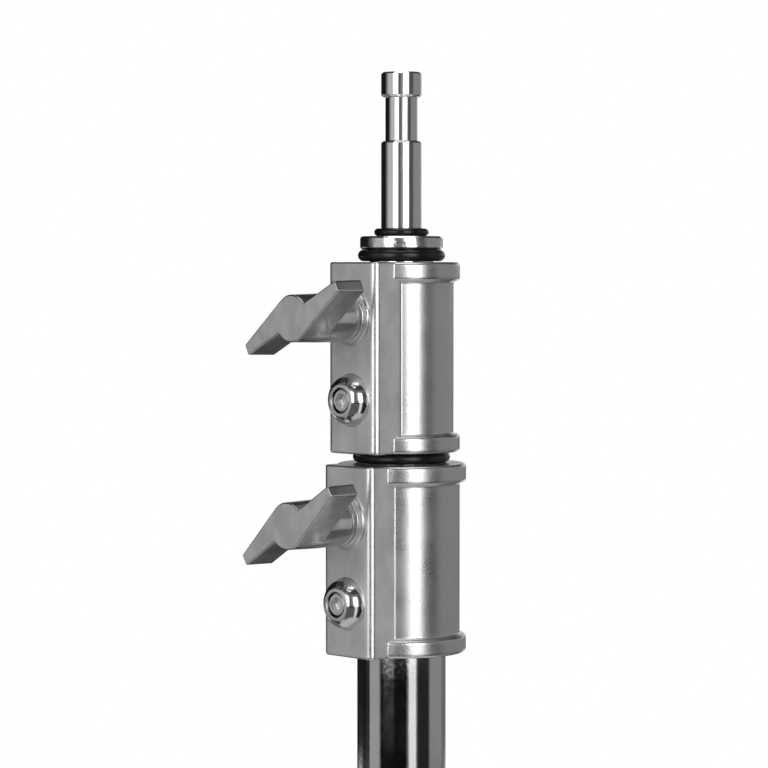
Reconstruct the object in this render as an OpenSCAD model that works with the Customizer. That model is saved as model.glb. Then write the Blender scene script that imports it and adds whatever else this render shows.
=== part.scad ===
// Free-standing light stand: three swing-out bent tube legs, a lift-off column and two riser tubes
// that slide in each other, each held by a cast collar with a T-handle clamp, and a stud on top.
// Millimetres, +Z up. The origin is on the floor, on the axis of the column.

/* [Tubes] */
// Outside diameter of the column tube
column_od = 35; // [33:0.5:40]
// How much thinner each riser tube is than the tube that it slides in
tube_step = 5; // [4.5:0.25:6]
// Wall of the column and of both risers
tube_wall = 1.5; // [1:0.1:1.8]
// Length of column that shows between the base receiver and the lower collar
column_exposed = 871; // [500:1:1200]
// Radial gap between a glide ring and the tube that it runs in
glide_gap = 0.1; // [0.05:0.05:0.2]

/* [Collar castings] */
// Height of each riser collar
collar_h = 74.5; // [66:0.5:95]
// Free height between the two collars when the stand is down
collar_gap = 4.5; // [3:0.1:8]
// Metal around the tube in each casting
collar_wall = 5.5; // [4:0.1:8]
// How far the flat face stands out from the barrel
face_out = 7; // [5:0.5:12]
// Width of the flat face
face_w = 26.5; // [25:0.5:34]
// Draft of the sides of the block, in degrees
block_draft = 5.9; // [2:0.1:8]
// Radius of the upright edges of the flat face
face_edge_r = 2.5; // [0.5:0.1:4]
// How far each flange ring stands out from the barrel
flange_out = 2.5; // [1:0.1:4]
// Height of the upper flange ring
flange_top_h = 7.4; // [5:0.1:12]
// Height of the lower flange ring
flange_low_h = 7; // [5:0.1:12]
// Rounding of the rims of the flange rings
flange_r = 1.5; // [0.3:0.1:2.2]
// Depth of the socket that the tube is pressed into
collar_socket = 40; // [30:0.5:42]
// Distance of the clamp screw below the top of a casting
knob_drop = 21.4; // [19.5:0.1:22.5]
// Distance of the locking screw above the bottom of a casting
screw_rise = 21; // [12:0.5:24]
// Height of the nylon guide bush in the mouth of a collar
bush_h = 13; // [8:0.5:13.5]
// Wall of the guide bush
bush_wall = 1.6; // [1:0.1:2.5]

/* [T-handles] */
// Distance from tip to tip
handle_span = 57.3; // [48:0.1:70]
// Diameter of the hub
handle_hub_d = 18.8; // [16:0.1:22]
// Length of the hub along its screw
handle_hub_l = 26.2; // [22:0.1:34]
// Depth of the wings along the screw
wing_depth = 13.5; // [8:0.1:18]
// Width of a wing at its tip
wing_tip_w = 5; // [3:0.1:7]
// Offset of the middle of a tip from the line through the hub's centre
wing_tip_offset = 0.73; // [0:0.01:2]
// Slant of the inner edge of a wing, in degrees
wing_slant = 1.8; // [0:0.1:5]
// Rounding of the tip corners
wing_tip_r = 0.8; // [0.3:0.1:1.4]
// Turn of the upper handle above level, in degrees
upper_handle_turn = 25; // [0:1:180]
// Turn of the lower handle above level, in degrees
lower_handle_turn = 30; // [0:1:180]
// Turn of the base handle above level, in degrees
base_handle_turn = 8; // [0:1:180]
// Diameter of the clamp screw
knob_screw_d = 10; // [8:0.5:11]
// Depth of the clamp screw in the hub
knob_screw_in = 18; // [10:0.5:20]
// Outside diameter of the cast boss around the clamp screw
knob_boss_d = 20; // [18:0.1:22]
// Height of that boss
knob_boss_h = 3.4; // [2:0.1:6]
// Radius of the flare at the foot of the clamp boss
knob_boss_flare = 1.4; // [0.5:0.1:1.6]
// Outside diameter of the washer under the handle
knob_washer_d = 19; // [15:0.1:20]
// Thickness of that washer
knob_washer_t = 1.6; // [1:0.1:3]
// Thickness of the brake pad
pad_t = 4; // [3:0.1:4.5]
// Gap between a brake pad and the tube beside it
pad_gap = 0.1; // [0.05:0.05:0.2]

/* [Locking screws] */
// Diameter of the domed boss at its foot
screw_boss_d = 20; // [18:0.1:22]
// Height of the domed boss
screw_boss_h = 5.9; // [5:0.1:7]
// Diameter of the flat rim of the domed boss
screw_rim_d = 12.6; // [12.2:0.1:14]
// Diameter of the recess for the screw head
screw_recess_d = 10.6; // [10:0.1:11]
// Depth of that recess
screw_recess = 4.4; // [4:0.1:5.5]
// Diameter of the screw head
screw_head_d = 9; // [8:0.1:9.6]
// Height of the screw head
screw_head_h = 3.7; // [3:0.1:4]
// Diameter of the screw
screw_d = 6; // [5:0.5:7]
// Width across the flats of the hexagon socket
socket_af = 5; // [4:0.1:5.5]
// Depth of the hexagon socket
socket_depth = 2.2; // [1:0.1:2.6]

/* [Stud] */
// Diameter of the stud's shank and head
stud_d = 16; // [14:0.1:18]
// Length of the shank above its rubber ring
stud_shank = 34.1; // [25:0.1:50]
// Diameter of the neck
stud_neck_d = 12.7; // [10:0.1:13.5]
// Length of the neck
stud_neck = 17.4; // [8:0.1:25]
// Height of the head
stud_head = 9.6; // [6:0.1:14]
// Chamfer on the stud's edges
stud_chamfer = 0.7; // [0.2:0.1:1.2]
// Depth of the groove that holds the rubber ring
stud_groove = 0.3; // [0.1:0.1:0.6]
// Diameter of the tenon below the shank
stud_tenon_d = 12; // [8:0.5:13]
// Length of the tenon
stud_tenon = 24; // [16:0.5:25]
// Section of the rubber ring at the foot of the stud
stud_ring_d = 3; // [2:0.1:4]
// Thickness of the cap that closes the second riser
cap_t = 5.2; // [3:0.1:8]
// How far the cap stands out past the second riser
cap_lip = 3.8; // [2:0.1:6]
// Chamfer on the cap's edges
cap_chamfer = 0.8; // [0.2:0.1:1.2]
// Length of the cap's plug inside the tube
cap_plug = 26; // [25:0.5:40]
// Section of the rubber bumper under the cap
bumper_d = 4.6; // [3:0.1:6]

/* [Base] */
// Outside diameter of the post that the legs turn on
post_od = 36; // [34:0.5:40]
// Diameter of the spigot under the column
spigot_d = 28.4; // [26:0.1:29]
// Length of the spigot below the column
spigot_l = 72; // [60:0.5:90]
// Length of the spigot's plug inside the column
spigot_plug = 40; // [25:0.5:60]
// Height of the receiver casting
receiver_h = 70; // [66:0.5:90]
// Depth of the post in the receiver
receiver_socket = 26; // [25:0.5:30]
// Thickness of the washer that the column stands on
seat_washer_t = 2; // [1:0.1:4]
// Height of the lowest leg hub above the floor
base_clear = 46; // [40:0.5:70]
// Height of each leg hub
hub_h = 40; // [36:0.5:50]
// Metal around the post in each leg hub
hub_wall = 12; // [10:0.1:16]
// Thickness of the washers between the hubs
hub_washer_t = 1; // [0.8:0.1:2]
// Width of those washers
hub_washer_w = 10; // [6:0.1:11]
// Height of the disc spring above the hubs
disc_spring_h = 2.4; // [2:0.1:4]
// Thickness of the disc spring's sheet
disc_spring_t = 1.2; // [0.8:0.1:1.5]
// How much narrower the disc spring is than the washers
spring_inset = 2; // [1:0.1:4]
// Thickness of the washer below the hubs
flange_washer_t = 2.5; // [1.5:0.1:4]
// Height of the nut below the hubs
base_nut_h = 10; // [7:0.5:14]
// Width across the flats of that nut
base_nut_af = 50; // [46:0.5:56]
// Length of post below the nut
post_tail = 2; // [1:0.1:4]
// Flange of the plug that closes the foot of the post
plug_flange_h = 2.5; // [1.5:0.1:4]
// Whole height of that plug
plug_h = 10; // [6:0.5:16]
// Diameter of the cross rivets and of the key pin
rivet_d = 5; // [3:0.5:6]
// Domed rivet head
rivet_head_d = 9; // [7:0.1:11]
// Height of the rivet head
rivet_head_h = 2; // [1:0.1:3]

/* [Legs] */
// Outside diameter of the leg tube
leg_od = 25; // [20:0.5:28]
// Wall of the leg tube
leg_wall = 2; // [1:0.1:3]
// Distance from the axis at which a leg bends down
leg_bend_at = 72; // [66:0.5:100]
// Radius of the bends, at the middle of the tube
leg_bend_r = 60; // [45:0.5:65]
// Slope of a leg between its bends, in degrees
leg_slope = 45; // [40:0.5:52]
// Distance from the axis to the end of a leg tube
leg_reach = 466; // [380:1:560]
// Metal around the tube in the hub's socket
socket_wall = 4; // [3:0.1:5]
// Distance from the axis to the mouth of the socket
socket_out = 56; // [52:0.5:62]
// Width of the bead around the socket's mouth
socket_bead = 6; // [4:0.5:8]
// Height of that bead
bead_h = 1.5; // [0.5:0.1:2]
// Distance from the axis to the leg rivet
leg_rivet_at = 43; // [40:0.5:46]
// Wall of the rubber foot
foot_wall = 3.5; // [2.5:0.1:5]
// Length of the foot over the tube
foot_grip = 38; // [20:0.5:60]
// Thickness of the foot's end
foot_end = 5; // [4:0.1:10]
// Depth of the flat cut along the foot's sole
sole_flat = 1; // [0.5:0.1:1.5]
// Angle from the low leg to each of the other two
leg_spread = 120; // [110:1:125]

/* [Hidden] */
$fn = 64;

// Clearance between pieces that are fixed to each other
fit = 0.05;
// Axial clearance between pieces that turn on each other
turn_gap = 0.1;
// Radial clearance of a screw in its thread and of a bush on its tube
run_gap = 0.05;
// Clearance between a bumper and the collar that it lands on
land_gap = 0.3;
// Radial clearance of a tube in the part of a casting that only guides it
guide_gap = 0.3;
// How far a cutter passes the face that it opens
cut = 1;
// Straight segments in each rounded corner
arc_n = 5;
// Steps in the arc of a screw boss
dome_n = 7;
// Height of a glide ring's flange
glide_flange_h = 6;
// Height of the sleeve that holds a glide ring in its riser
glide_sleeve_h = 12;
// Wall of that sleeve
glide_sleeve_wall = 2;
// Air between the spigot's plug and the glide ring above it
glide_rest_gap = 8;
// How much bending draws in the radius of a leg tube
bend_draw = 0.05;
// How far a straight length of leg runs into the bend beside it
bend_lap = 0.5;
// Chamfer on turned and moulded edges
edge = 0.6;
// Rounding of the edges of a leg hub
hub_edge_r = 2;
// Radial clearance of the spigot in the post
spigot_gap = 0.2;
// Direction of the low leg, in degrees
low_leg_at = -90;

// Diameters that follow from the tubes
riser_1_od = column_od - tube_step;
riser_2_od = riser_1_od - tube_step;
column_id = column_od - 2 * tube_wall;
riser_1_id = riser_1_od - 2 * tube_wall;
riser_2_id = riser_2_od - 2 * tube_wall;
post_id = spigot_d + 2 * spigot_gap;
foot_r = leg_od / 2 + foot_wall;

// Heights from the floor up
leg_run_z = foot_r - sole_flat;
hub_pitch = hub_h + hub_washer_t + 2 * turn_gap;
hub_top = base_clear + 2 * hub_pitch + hub_h;
receiver_z = hub_top + disc_spring_h + 2 * turn_gap;
receiver_top = receiver_z + receiver_h;
post_top = receiver_z + receiver_socket - fit;
nut_top = base_clear - flange_washer_t - 2 * fit;
post_bottom = nut_top - base_nut_h - post_tail;
seat_z = receiver_top + fit;
column_z = seat_z + seat_washer_t + fit;
lower_collar_z = receiver_top + column_exposed;
lower_collar_top = lower_collar_z + collar_h;
upper_collar_z = lower_collar_top + collar_gap;
upper_collar_top = upper_collar_z + collar_h;
column_top = lower_collar_z + collar_socket - fit;
riser_1_top = upper_collar_z + collar_socket - fit;
riser_1_z = column_z + spigot_plug + glide_rest_gap + glide_flange_h;
riser_travel = column_top - riser_1_z;
riser_2_z = riser_1_top - riser_travel;
upper_bumper_z = upper_collar_top + land_gap;
cap_z = upper_bumper_z + bumper_d + fit;
cap_top = cap_z + cap_t;
riser_2_top = cap_z - fit;
shank_z = cap_top + stud_ring_d + 2 * fit;
shank_top = shank_z + stud_shank;
neck_top = shank_top + stud_neck;
stud_top = neck_top + stud_head;

// Directions of the three legs
leg_angles = [low_leg_at, low_leg_at + leg_spread, low_leg_at - leg_spread];

function unit(v) = v / norm(v);
function arc(c, r, a, b, n = arc_n) = [for (i = [0:n])
  let (t = a + (b - a) * i / n) c + r * [cos(t), sin(t)]];
function wrap(a) = a > 180 ? a - 360 : (a < -180 ? a + 360 : a);
// The corner at p between a and b, rounded to radius r
function corner(a, p, b, r) =
  let (
    u = unit(a - p),
    v = unit(b - p),
    half = acos(u * v) / 2,
    c = p + unit(u + v) * r / sin(half),
    s = p + u * r / tan(half) - c,
    e = p + v * r / tan(half) - c,
    from = atan2(s.y, s.x)
  )
  arc(c, r, from, from + wrap(atan2(e.y, e.x) - from));
// A closed outline with one radius for each corner, where 0 keeps the corner sharp
function rounded(pts, radii) =
  let (n = len(pts))
  [for (i = [0:n - 1])
    each radii[i] > 0 ? corner(pts[(i + n - 1) % n], pts[i], pts[(i + 1) % n], radii[i]) : [pts[i]]];

// Stands its children on the flat side of a casting: their +Z points out, along -Y
module on_face(out, z) {
  translate([0, -out, z]) rotate([90, 0, 0]) children();
}

module turned(profile) {
  rotate_extrude() polygon(profile);
}

module ring(outer_d, inner_d, h) {
  linear_extrude(h) difference() {
    circle(d = outer_d);
    circle(d = inner_d);
  }
}

module pipe(outer_d, wall, h) {
  ring(outer_d, outer_d - 2 * wall, h);
}

module rubber_ring(inner_d, section) {
  rotate_extrude() translate([inner_d / 2 + fit + section / 2, section / 2]) circle(d = section);
}

// A round bar with its outer edges cut back by c
function chamfered(r, z0, z1, c) = [[0, z0], [r - c, z0], [r, z0 + c], [r, z1 - c], [r - c, z1], [0, z1]];

function barrel_r(tube_d) = tube_d / 2 + collar_wall;
function face_y(tube_d) = barrel_r(tube_d) + face_out;

// Flange ring with rounded rims
module flange_ring(r, z, h) {
  turned(rounded(
    [[r - collar_wall, z], [r, z], [r, z + h], [r - collar_wall, z + h]],
    [0, flange_r, flange_r, 0]));
}

// Block behind the flat face, with draft on its sides
module block_outline(out) {
  root = face_w / 2 + out * tan(block_draft);
  polygon(rounded(
    [[-root, 0], [-face_w / 2, -out], [face_w / 2, -out], [root, 0]],
    [0, face_edge_r, face_edge_r, 0]));
}

// Boss that the clamp screw comes out of, flared at its foot
module knob_boss() {
  r = knob_boss_d / 2;
  turned(concat(
    [[0, -cut], [r + knob_boss_flare, -cut]],
    arc([r + knob_boss_flare, knob_boss_flare], knob_boss_flare, 270, 180),
    [[r, knob_boss_h - edge], [r - edge, knob_boss_h], [0, knob_boss_h]]));
}

// Dome that the locking screw sits in
module screw_boss() {
  foot = screw_boss_d / 2;
  rim = screw_rim_d / 2;
  crown_r = (pow(foot - rim, 2) + pow(screw_boss_h, 2)) / (2 * (foot - rim));
  turned(concat(
    [[0, -cut], [foot, -cut]],
    arc([foot - crown_r, 0], crown_r, 0, asin(screw_boss_h / crown_r), dome_n),
    [[0, screw_boss_h]]));
}

// Casting around a tube end: a barrel between two flange rings, with the clamp and screw bosses
module casting(tube_d, moving_d, gap, h, socket, bush) {
  r = barrel_r(tube_d);
  out = face_y(tube_d);
  difference() {
    union() {
      cylinder(r = r, h = h);
      linear_extrude(h) block_outline(out);
      flange_ring(r + flange_out, 0, flange_low_h);
      flange_ring(r + flange_out, h - flange_top_h, flange_top_h);
      on_face(out, h - knob_drop) knob_boss();
      on_face(out, screw_rise) screw_boss();
    }
    translate([0, 0, -cut]) cylinder(d = tube_d + 2 * fit, h = socket + cut);
    cylinder(d = moving_d + 2 * gap, h = h + cut);
    if (bush) {
      translate([0, 0, h - bush_h]) cylinder(d = moving_d + 2 * bush_wall + 2 * fit, h = bush_h + cut);
    }
    on_face(0, h - knob_drop) cylinder(d = knob_screw_d + 2 * run_gap, h = out + knob_boss_h + cut);
    on_face(0, screw_rise) cylinder(d = screw_d + 2 * fit, h = out + screw_boss_h);
    on_face(out + screw_boss_h - screw_recess, screw_rise) cylinder(d = screw_recess_d, h = screw_recess + cut);
  }
}

// Nylon bush in the mouth of a collar
module guide_bush(z, riser_d) {
  color("whitesmoke") translate([0, 0, z + collar_h - bush_h + fit])
    ring(riser_d + 2 * bush_wall, riser_d + 2 * run_gap, bush_h - fit);
}

// Socket head screw that locks a tube into its casting
module locking_screw(z, tube_d) {
  seat = face_y(tube_d) + screw_boss_h - screw_recess + fit;
  tip = tube_d / 2 + fit;
  color("silver") difference() {
    union() {
      on_face(seat, z + screw_rise) turned(chamfered(screw_head_d / 2, 0, screw_head_h, edge / 2));
      on_face(tip, z + screw_rise) cylinder(d = screw_d, h = seat - tip + edge);
    }
    on_face(seat + screw_head_h - socket_depth, z + screw_rise)
      cylinder(d = socket_af / cos(30), h = socket_depth + cut, $fn = 6);
  }
}

// Brake pad that the clamp screw presses on the tube
module brake_pad(z, h, moving_d) {
  color("goldenrod") on_face(moving_d / 2 + pad_gap, z + h - knob_drop)
    turned(chamfered(knob_screw_d / 2 - 2 * run_gap, 0, pad_t, edge / 2));
}

// Distances out from the axis along the clamp screw
function pad_back(moving_d) = moving_d / 2 + pad_gap + pad_t + turn_gap;
function washer_y(tube_d) = face_y(tube_d) + knob_boss_h + land_gap;
function handle_y(tube_d) = washer_y(tube_d) + knob_washer_t + fit;

module knob_screw(z, h, tube_d, moving_d) {
  tip = pad_back(moving_d);
  end = handle_y(tube_d) + knob_screw_in - fit;
  color("silver") on_face(tip, z + h - knob_drop)
    turned(chamfered(knob_screw_d / 2, 0, end - tip, edge));
}

module knob_washer(z, h, tube_d) {
  color("gainsboro") on_face(washer_y(tube_d), z + h - knob_drop)
    ring(knob_washer_d, knob_screw_d + 2 * fit, knob_washer_t);
}

// One wing of a handle, from its tip to inside the hub: the outer edge runs tangent to the hub
module wing_outline() {
  hub = handle_hub_d / 2;
  tip = handle_span / 2;
  outer = [-tip, wing_tip_w / 2 - wing_tip_offset];
  inner = [-tip, -wing_tip_w / 2 - wing_tip_offset];
  notch = [-hub / 2, inner.y + (tip - hub / 2) * tan(wing_slant)];
  touch = atan2(outer.y, outer.x) - acos(hub / norm(outer));
  polygon(rounded(
    [outer, inner, notch, [0, 0], (hub - fit) * [cos(touch), sin(touch)]],
    [wing_tip_r, wing_tip_r, 0, 0, 0]));
}

// T-handle: a round hub with two wings at its front, point-symmetric about the screw
module knob_handle(z, h, tube_d, turn) {
  color("gray") on_face(handle_y(tube_d), z + h - knob_drop) rotate([0, 0, turn]) difference() {
    union() {
      turned(chamfered(handle_hub_d / 2, 0, handle_hub_l, edge));
      for (side = [0, 180]) {
        rotate([0, 0, side]) translate([0, 0, handle_hub_l - wing_depth]) linear_extrude(wing_depth) wing_outline();
      }
    }
    translate([0, 0, -cut]) cylinder(d = knob_screw_d + 2 * fit, h = knob_screw_in + cut);
  }
}

// Ring that guides the foot of a riser, with a sleeve that the riser turns on
module glide_ring(z, outer_id, riser_id) {
  sleeve = riser_id - 2 * run_gap;
  color("ivory") translate([0, 0, z - glide_flange_h - turn_gap]) difference() {
    union() {
      cylinder(d = outer_id - 2 * glide_gap, h = glide_flange_h);
      cylinder(d = sleeve, h = glide_flange_h + glide_sleeve_h);
    }
    translate([0, 0, -cut])
      cylinder(d = sleeve - 2 * glide_sleeve_wall, h = glide_flange_h + glide_sleeve_h + 2 * cut);
  }
}

// Flush cross rivet through a tube and the plug inside it, along X
module cross_rivet(z, tube_d) {
  half = sqrt(pow(tube_d / 2 - run_gap, 2) - pow(rivet_d / 2, 2));
  translate([-half, 0, z]) rotate([0, 90, 0]) cylinder(d = rivet_d, h = 2 * half);
}

module cross_hole(z, tube_d) {
  translate([-tube_d / 2 - cut, 0, z]) rotate([0, 90, 0]) cylinder(d = rivet_d + 2 * fit, h = tube_d + 2 * cut);
}

// Legs, drawn along +X and then turned to their direction
function socket_z(i) = base_clear + i * hub_pitch + hub_h / 2;
function seat_r() = post_od / 2 + hub_wall / 2;

// A straight length along +X that laps into the bends beside it, with what follows it at its end
module straight_then(d, l) {
  translate([-bend_lap, 0, 0]) rotate([0, 90, 0]) cylinder(d = d, h = l + 2 * bend_lap);
  translate([l, 0, 0]) children();
}

// A bend downwards through the slope, a little drawn in, with what follows it at its end
module bend_then(d) {
  translate([0, 0, -leg_bend_r]) {
    rotate([90, 0, 0]) rotate([0, 0, 90]) rotate_extrude(angle = -leg_slope)
      translate([leg_bend_r, 0]) circle(d = d - 2 * bend_draw);
    rotate([0, leg_slope, 0]) translate([0, 0, leg_bend_r]) children();
  }
}

// Bar of a leg: out, bend down, slope, bend level, and out along the floor
module leg_bar(i, d, start, end) {
  bend_x = leg_bend_r * sin(leg_slope);
  bend_z = leg_bend_r * (1 - cos(leg_slope));
  slope_z = socket_z(i) - leg_run_z - 2 * bend_z;
  run = end - bend_lap - leg_bend_at - 2 * bend_x - slope_z / tan(leg_slope);
  translate([start + bend_lap, 0, socket_z(i)])
    straight_then(d, leg_bend_at - start - bend_lap)
      bend_then(d)
        straight_then(d, slope_z / sin(leg_slope))
          rotate([180, 0, 0]) bend_then(d)
            rotate([180, 0, 0]) straight_then(d, run);
}

module leg_tube(i) {
  start = seat_r() + fit;
  color("silver") rotate([0, 0, leg_angles[i]]) difference() {
    leg_bar(i, leg_od, start, leg_reach);
    leg_bar(i, leg_od - 2 * leg_wall, start - cut, leg_reach + cut);
    leg_rivet_hole(i);
  }
}

module leg_rivet_hole(i) {
  translate([leg_rivet_at, 0, socket_z(i) - hub_h / 2]) cylinder(d = rivet_d + 2 * fit, h = hub_h);
}

// Cross rivet with domed heads through the socket and the tube
module leg_rivet(i) {
  r = leg_od / 2 + socket_wall + fit;
  head_r = rivet_head_d / 2;
  dome_r = (pow(head_r, 2) + pow(rivet_head_h, 2)) / (2 * rivet_head_h);
  dome = arc([0, rivet_head_h - dome_r], dome_r, acos(head_r / dome_r), 90);
  color("silver") rotate([0, 0, leg_angles[i]]) translate([leg_rivet_at, 0, socket_z(i)]) {
    translate([0, 0, -r]) cylinder(d = rivet_d, h = 2 * r);
    for (side = [0, 180]) {
      rotate([side, 0, 0]) translate([0, 0, r]) turned(concat([[0, 0]], dome));
    }
  }
}

// Hub that turns on the post, with the socket that the leg is riveted into
module leg_hub(i) {
  r = post_od / 2 + hub_wall;
  arm_r = leg_od / 2 + socket_wall;
  z = base_clear + i * hub_pitch;
  color("gray") rotate([0, 0, leg_angles[i]]) difference() {
    union() {
      translate([0, 0, z]) turned(rounded(
        [[0, 0], [r, 0], [r, hub_h], [0, hub_h]], [0, hub_edge_r, hub_edge_r, 0]));
      translate([0, 0, socket_z(i)]) rotate([0, 90, 0]) turned(rounded(
        [[0, 0], [arm_r, 0], [arm_r, socket_out - socket_bead], [arm_r + bead_h, socket_out - socket_bead],
          [arm_r + bead_h, socket_out], [0, socket_out]],
        [0, 0, 0, edge, edge, 0]));
    }
    translate([0, 0, z - cut]) cylinder(d = post_od + 2 * run_gap, h = hub_h + 2 * cut);
    translate([seat_r(), 0, socket_z(i)]) rotate([0, 90, 0]) cylinder(d = leg_od + 2 * fit, h = socket_out);
    leg_rivet_hole(i);
    if (i == 0) {
      key_pin_hole();
    }
  }
}

// The key pin lies opposite the low leg
module key_pin_hole() {
  translate([0, 0, socket_z(0)]) rotate([0, -90, 0]) cylinder(d = rivet_d + 2 * fit, h = post_od / 2 + hub_wall + cut);
}

// Rubber foot with a flat sole
module leg_foot(i) {
  tail = leg_reach - foot_grip;
  nose = foot_grip + foot_end;
  color("dimgray") rotate([0, 0, leg_angles[i]]) difference() {
    translate([tail, 0, leg_run_z]) rotate([0, 90, 0]) turned(rounded(
      [[0, 0], [foot_r, 0], [foot_r, nose], [0, nose]], [0, edge, foot_wall, 0]));
    translate([tail - cut, 0, leg_run_z]) rotate([0, 90, 0]) cylinder(d = leg_od + 2 * fit, h = foot_grip + fit + cut);
    translate([tail - cut, -foot_r, -foot_r]) cube([nose + 2 * cut, 2 * foot_r, foot_r]);
  }
}

module base_post() {
  color("silver") difference() {
    translate([0, 0, post_bottom]) ring(post_od, post_id, post_top - post_bottom);
    rotate([0, 0, low_leg_at]) key_pin_hole();
  }
}
module base_receiver() {
  color("darkgray") translate([0, 0, receiver_z])
    casting(post_od, spigot_d, spigot_gap, receiver_h, receiver_socket, false);
}
module receiver_screw() {
  locking_screw(receiver_z, post_od);
}
module leg_hub_low() {
  leg_hub(0);
}
module leg_tube_low() {
  leg_tube(0);
}
module leg_foot_low() {
  leg_foot(0);
}
module leg_rivet_low() {
  leg_rivet(0);
}
module hub_key_pin() {
  inner = post_id / 2 + 2 * guide_gap;
  color("silver") rotate([0, 0, low_leg_at]) translate([-inner, 0, socket_z(0)]) rotate([0, -90, 0])
    cylinder(d = rivet_d, h = post_od / 2 + hub_wall - edge - inner);
}
module hub_washers() {
  color("ivory") for (i = [1, 2]) {
    translate([0, 0, base_clear + i * hub_pitch - turn_gap - hub_washer_t])
      ring(post_od + 2 * guide_gap + 2 * hub_washer_w, post_od + 2 * guide_gap, hub_washer_t);
  }
}
module disc_spring() {
  inner = post_od / 2 + guide_gap;
  outer = inner + hub_washer_w - spring_inset;
  z = hub_top + turn_gap;
  color("dimgray") turned([[outer, z], [outer, z + disc_spring_t], [inner, z + disc_spring_h],
    [inner, z + disc_spring_h - disc_spring_t]]);
}
module base_flange_washer() {
  color("silver") translate([0, 0, nut_top + fit])
    ring(post_od + 2 * hub_washer_w, post_od + 2 * run_gap, flange_washer_t);
}
module base_nut() {
  color("gray") translate([0, 0, nut_top - base_nut_h]) difference() {
    cylinder(d = base_nut_af / cos(30), h = base_nut_h, $fn = 6);
    translate([0, 0, -cut]) cylinder(d = post_od + 2 * run_gap, h = base_nut_h + 2 * cut);
  }
}
module post_plug() {
  color("black") translate([0, 0, post_bottom - plug_flange_h - fit]) {
    turned(concat([[0, 0], [post_od / 2 - edge, 0], [post_od / 2, edge], [post_od / 2, plug_flange_h]],
      [[post_id / 2 - run_gap, plug_flange_h], [post_id / 2 - run_gap, plug_h], [0, plug_h]]));
  }
}
module leg_hub_mid() {
  leg_hub(1);
}
module leg_tube_mid() {
  leg_tube(1);
}
module leg_foot_mid() {
  leg_foot(1);
}
module leg_rivet_mid() {
  leg_rivet(1);
}
module leg_hub_high() {
  leg_hub(2);
}
module leg_tube_high() {
  leg_tube(2);
}
module leg_foot_high() {
  leg_foot(2);
}
module leg_rivet_high() {
  leg_rivet(2);
}
module base_brake_pad() {
  brake_pad(receiver_z, receiver_h, spigot_d);
}
module base_knob_handle() {
  knob_handle(receiver_z, receiver_h, post_od, base_handle_turn);
}
module base_knob_screw() {
  knob_screw(receiver_z, receiver_h, post_od, spigot_d);
}
module base_knob_washer() {
  knob_washer(receiver_z, receiver_h, post_od);
}
module column_seat_washer() {
  color("ivory") translate([0, 0, seat_z]) ring(column_od, spigot_d + 2 * guide_gap, seat_washer_t);
}
// Turned spigot: its upper end is riveted into the column, its lower end stands in the receiver
module column_spigot() {
  plug_r = column_id / 2 - fit;
  color("silver") difference() {
    turned([[0, seat_z - spigot_l], [spigot_d / 2 - 2 * edge, seat_z - spigot_l],
      [spigot_d / 2, seat_z - spigot_l + 2 * edge], [spigot_d / 2, column_z + fit],
      [plug_r, column_z + fit], [plug_r, column_z + spigot_plug - edge],
      [plug_r - edge, column_z + spigot_plug], [0, column_z + spigot_plug]]);
    cross_hole(column_z + spigot_plug / 2, column_od);
  }
}
module spigot_rivet() {
  color("silver") cross_rivet(column_z + spigot_plug / 2, column_od);
}
module column_tube() {
  color("silver") difference() {
    translate([0, 0, column_z]) pipe(column_od, tube_wall, column_top - column_z);
    cross_hole(column_z + spigot_plug / 2, column_od);
  }
}
module lower_collar() {
  color("darkgray") translate([0, 0, lower_collar_z])
    casting(column_od, riser_1_od, guide_gap, collar_h, collar_socket, true);
}
module lower_collar_screw() {
  locking_screw(lower_collar_z, column_od);
}
module lower_guide_bush() {
  guide_bush(lower_collar_z, riser_1_od);
}
module lower_brake_pad() {
  brake_pad(lower_collar_z, collar_h, riser_1_od);
}
module lower_knob_handle() {
  knob_handle(lower_collar_z, collar_h, column_od, lower_handle_turn);
}
module lower_knob_screw() {
  knob_screw(lower_collar_z, collar_h, column_od, riser_1_od);
}
module lower_knob_washer() {
  knob_washer(lower_collar_z, collar_h, column_od);
}
module riser_1_glide_ring() {
  glide_ring(riser_1_z, column_id, riser_1_id);
}
module riser_1_tube() {
  color("silver") translate([0, 0, riser_1_z]) pipe(riser_1_od, tube_wall, riser_1_top - riser_1_z);
}
module upper_collar() {
  color("darkgray") translate([0, 0, upper_collar_z])
    casting(riser_1_od, riser_2_od, guide_gap, collar_h, collar_socket, true);
}
module upper_collar_screw() {
  locking_screw(upper_collar_z, riser_1_od);
}
module upper_guide_bush() {
  guide_bush(upper_collar_z, riser_2_od);
}
module lower_bumper_ring() {
  color("black") translate([0, 0, lower_collar_top + land_gap]) rubber_ring(riser_1_od, collar_gap - land_gap - fit);
}
module upper_brake_pad() {
  brake_pad(upper_collar_z, collar_h, riser_2_od);
}
module upper_knob_handle() {
  knob_handle(upper_collar_z, collar_h, riser_1_od, upper_handle_turn);
}
module upper_knob_screw() {
  knob_screw(upper_collar_z, collar_h, riser_1_od, riser_2_od);
}
module upper_knob_washer() {
  knob_washer(upper_collar_z, collar_h, riser_1_od);
}
module riser_2_glide_ring() {
  glide_ring(riser_2_z, riser_1_id, riser_2_id);
}
module riser_2_tube() {
  color("silver") difference() {
    translate([0, 0, riser_2_z]) pipe(riser_2_od, tube_wall, riser_2_top - riser_2_z);
    cross_hole(cap_z - stud_tenon / 2, riser_2_od);
  }
}
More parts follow.
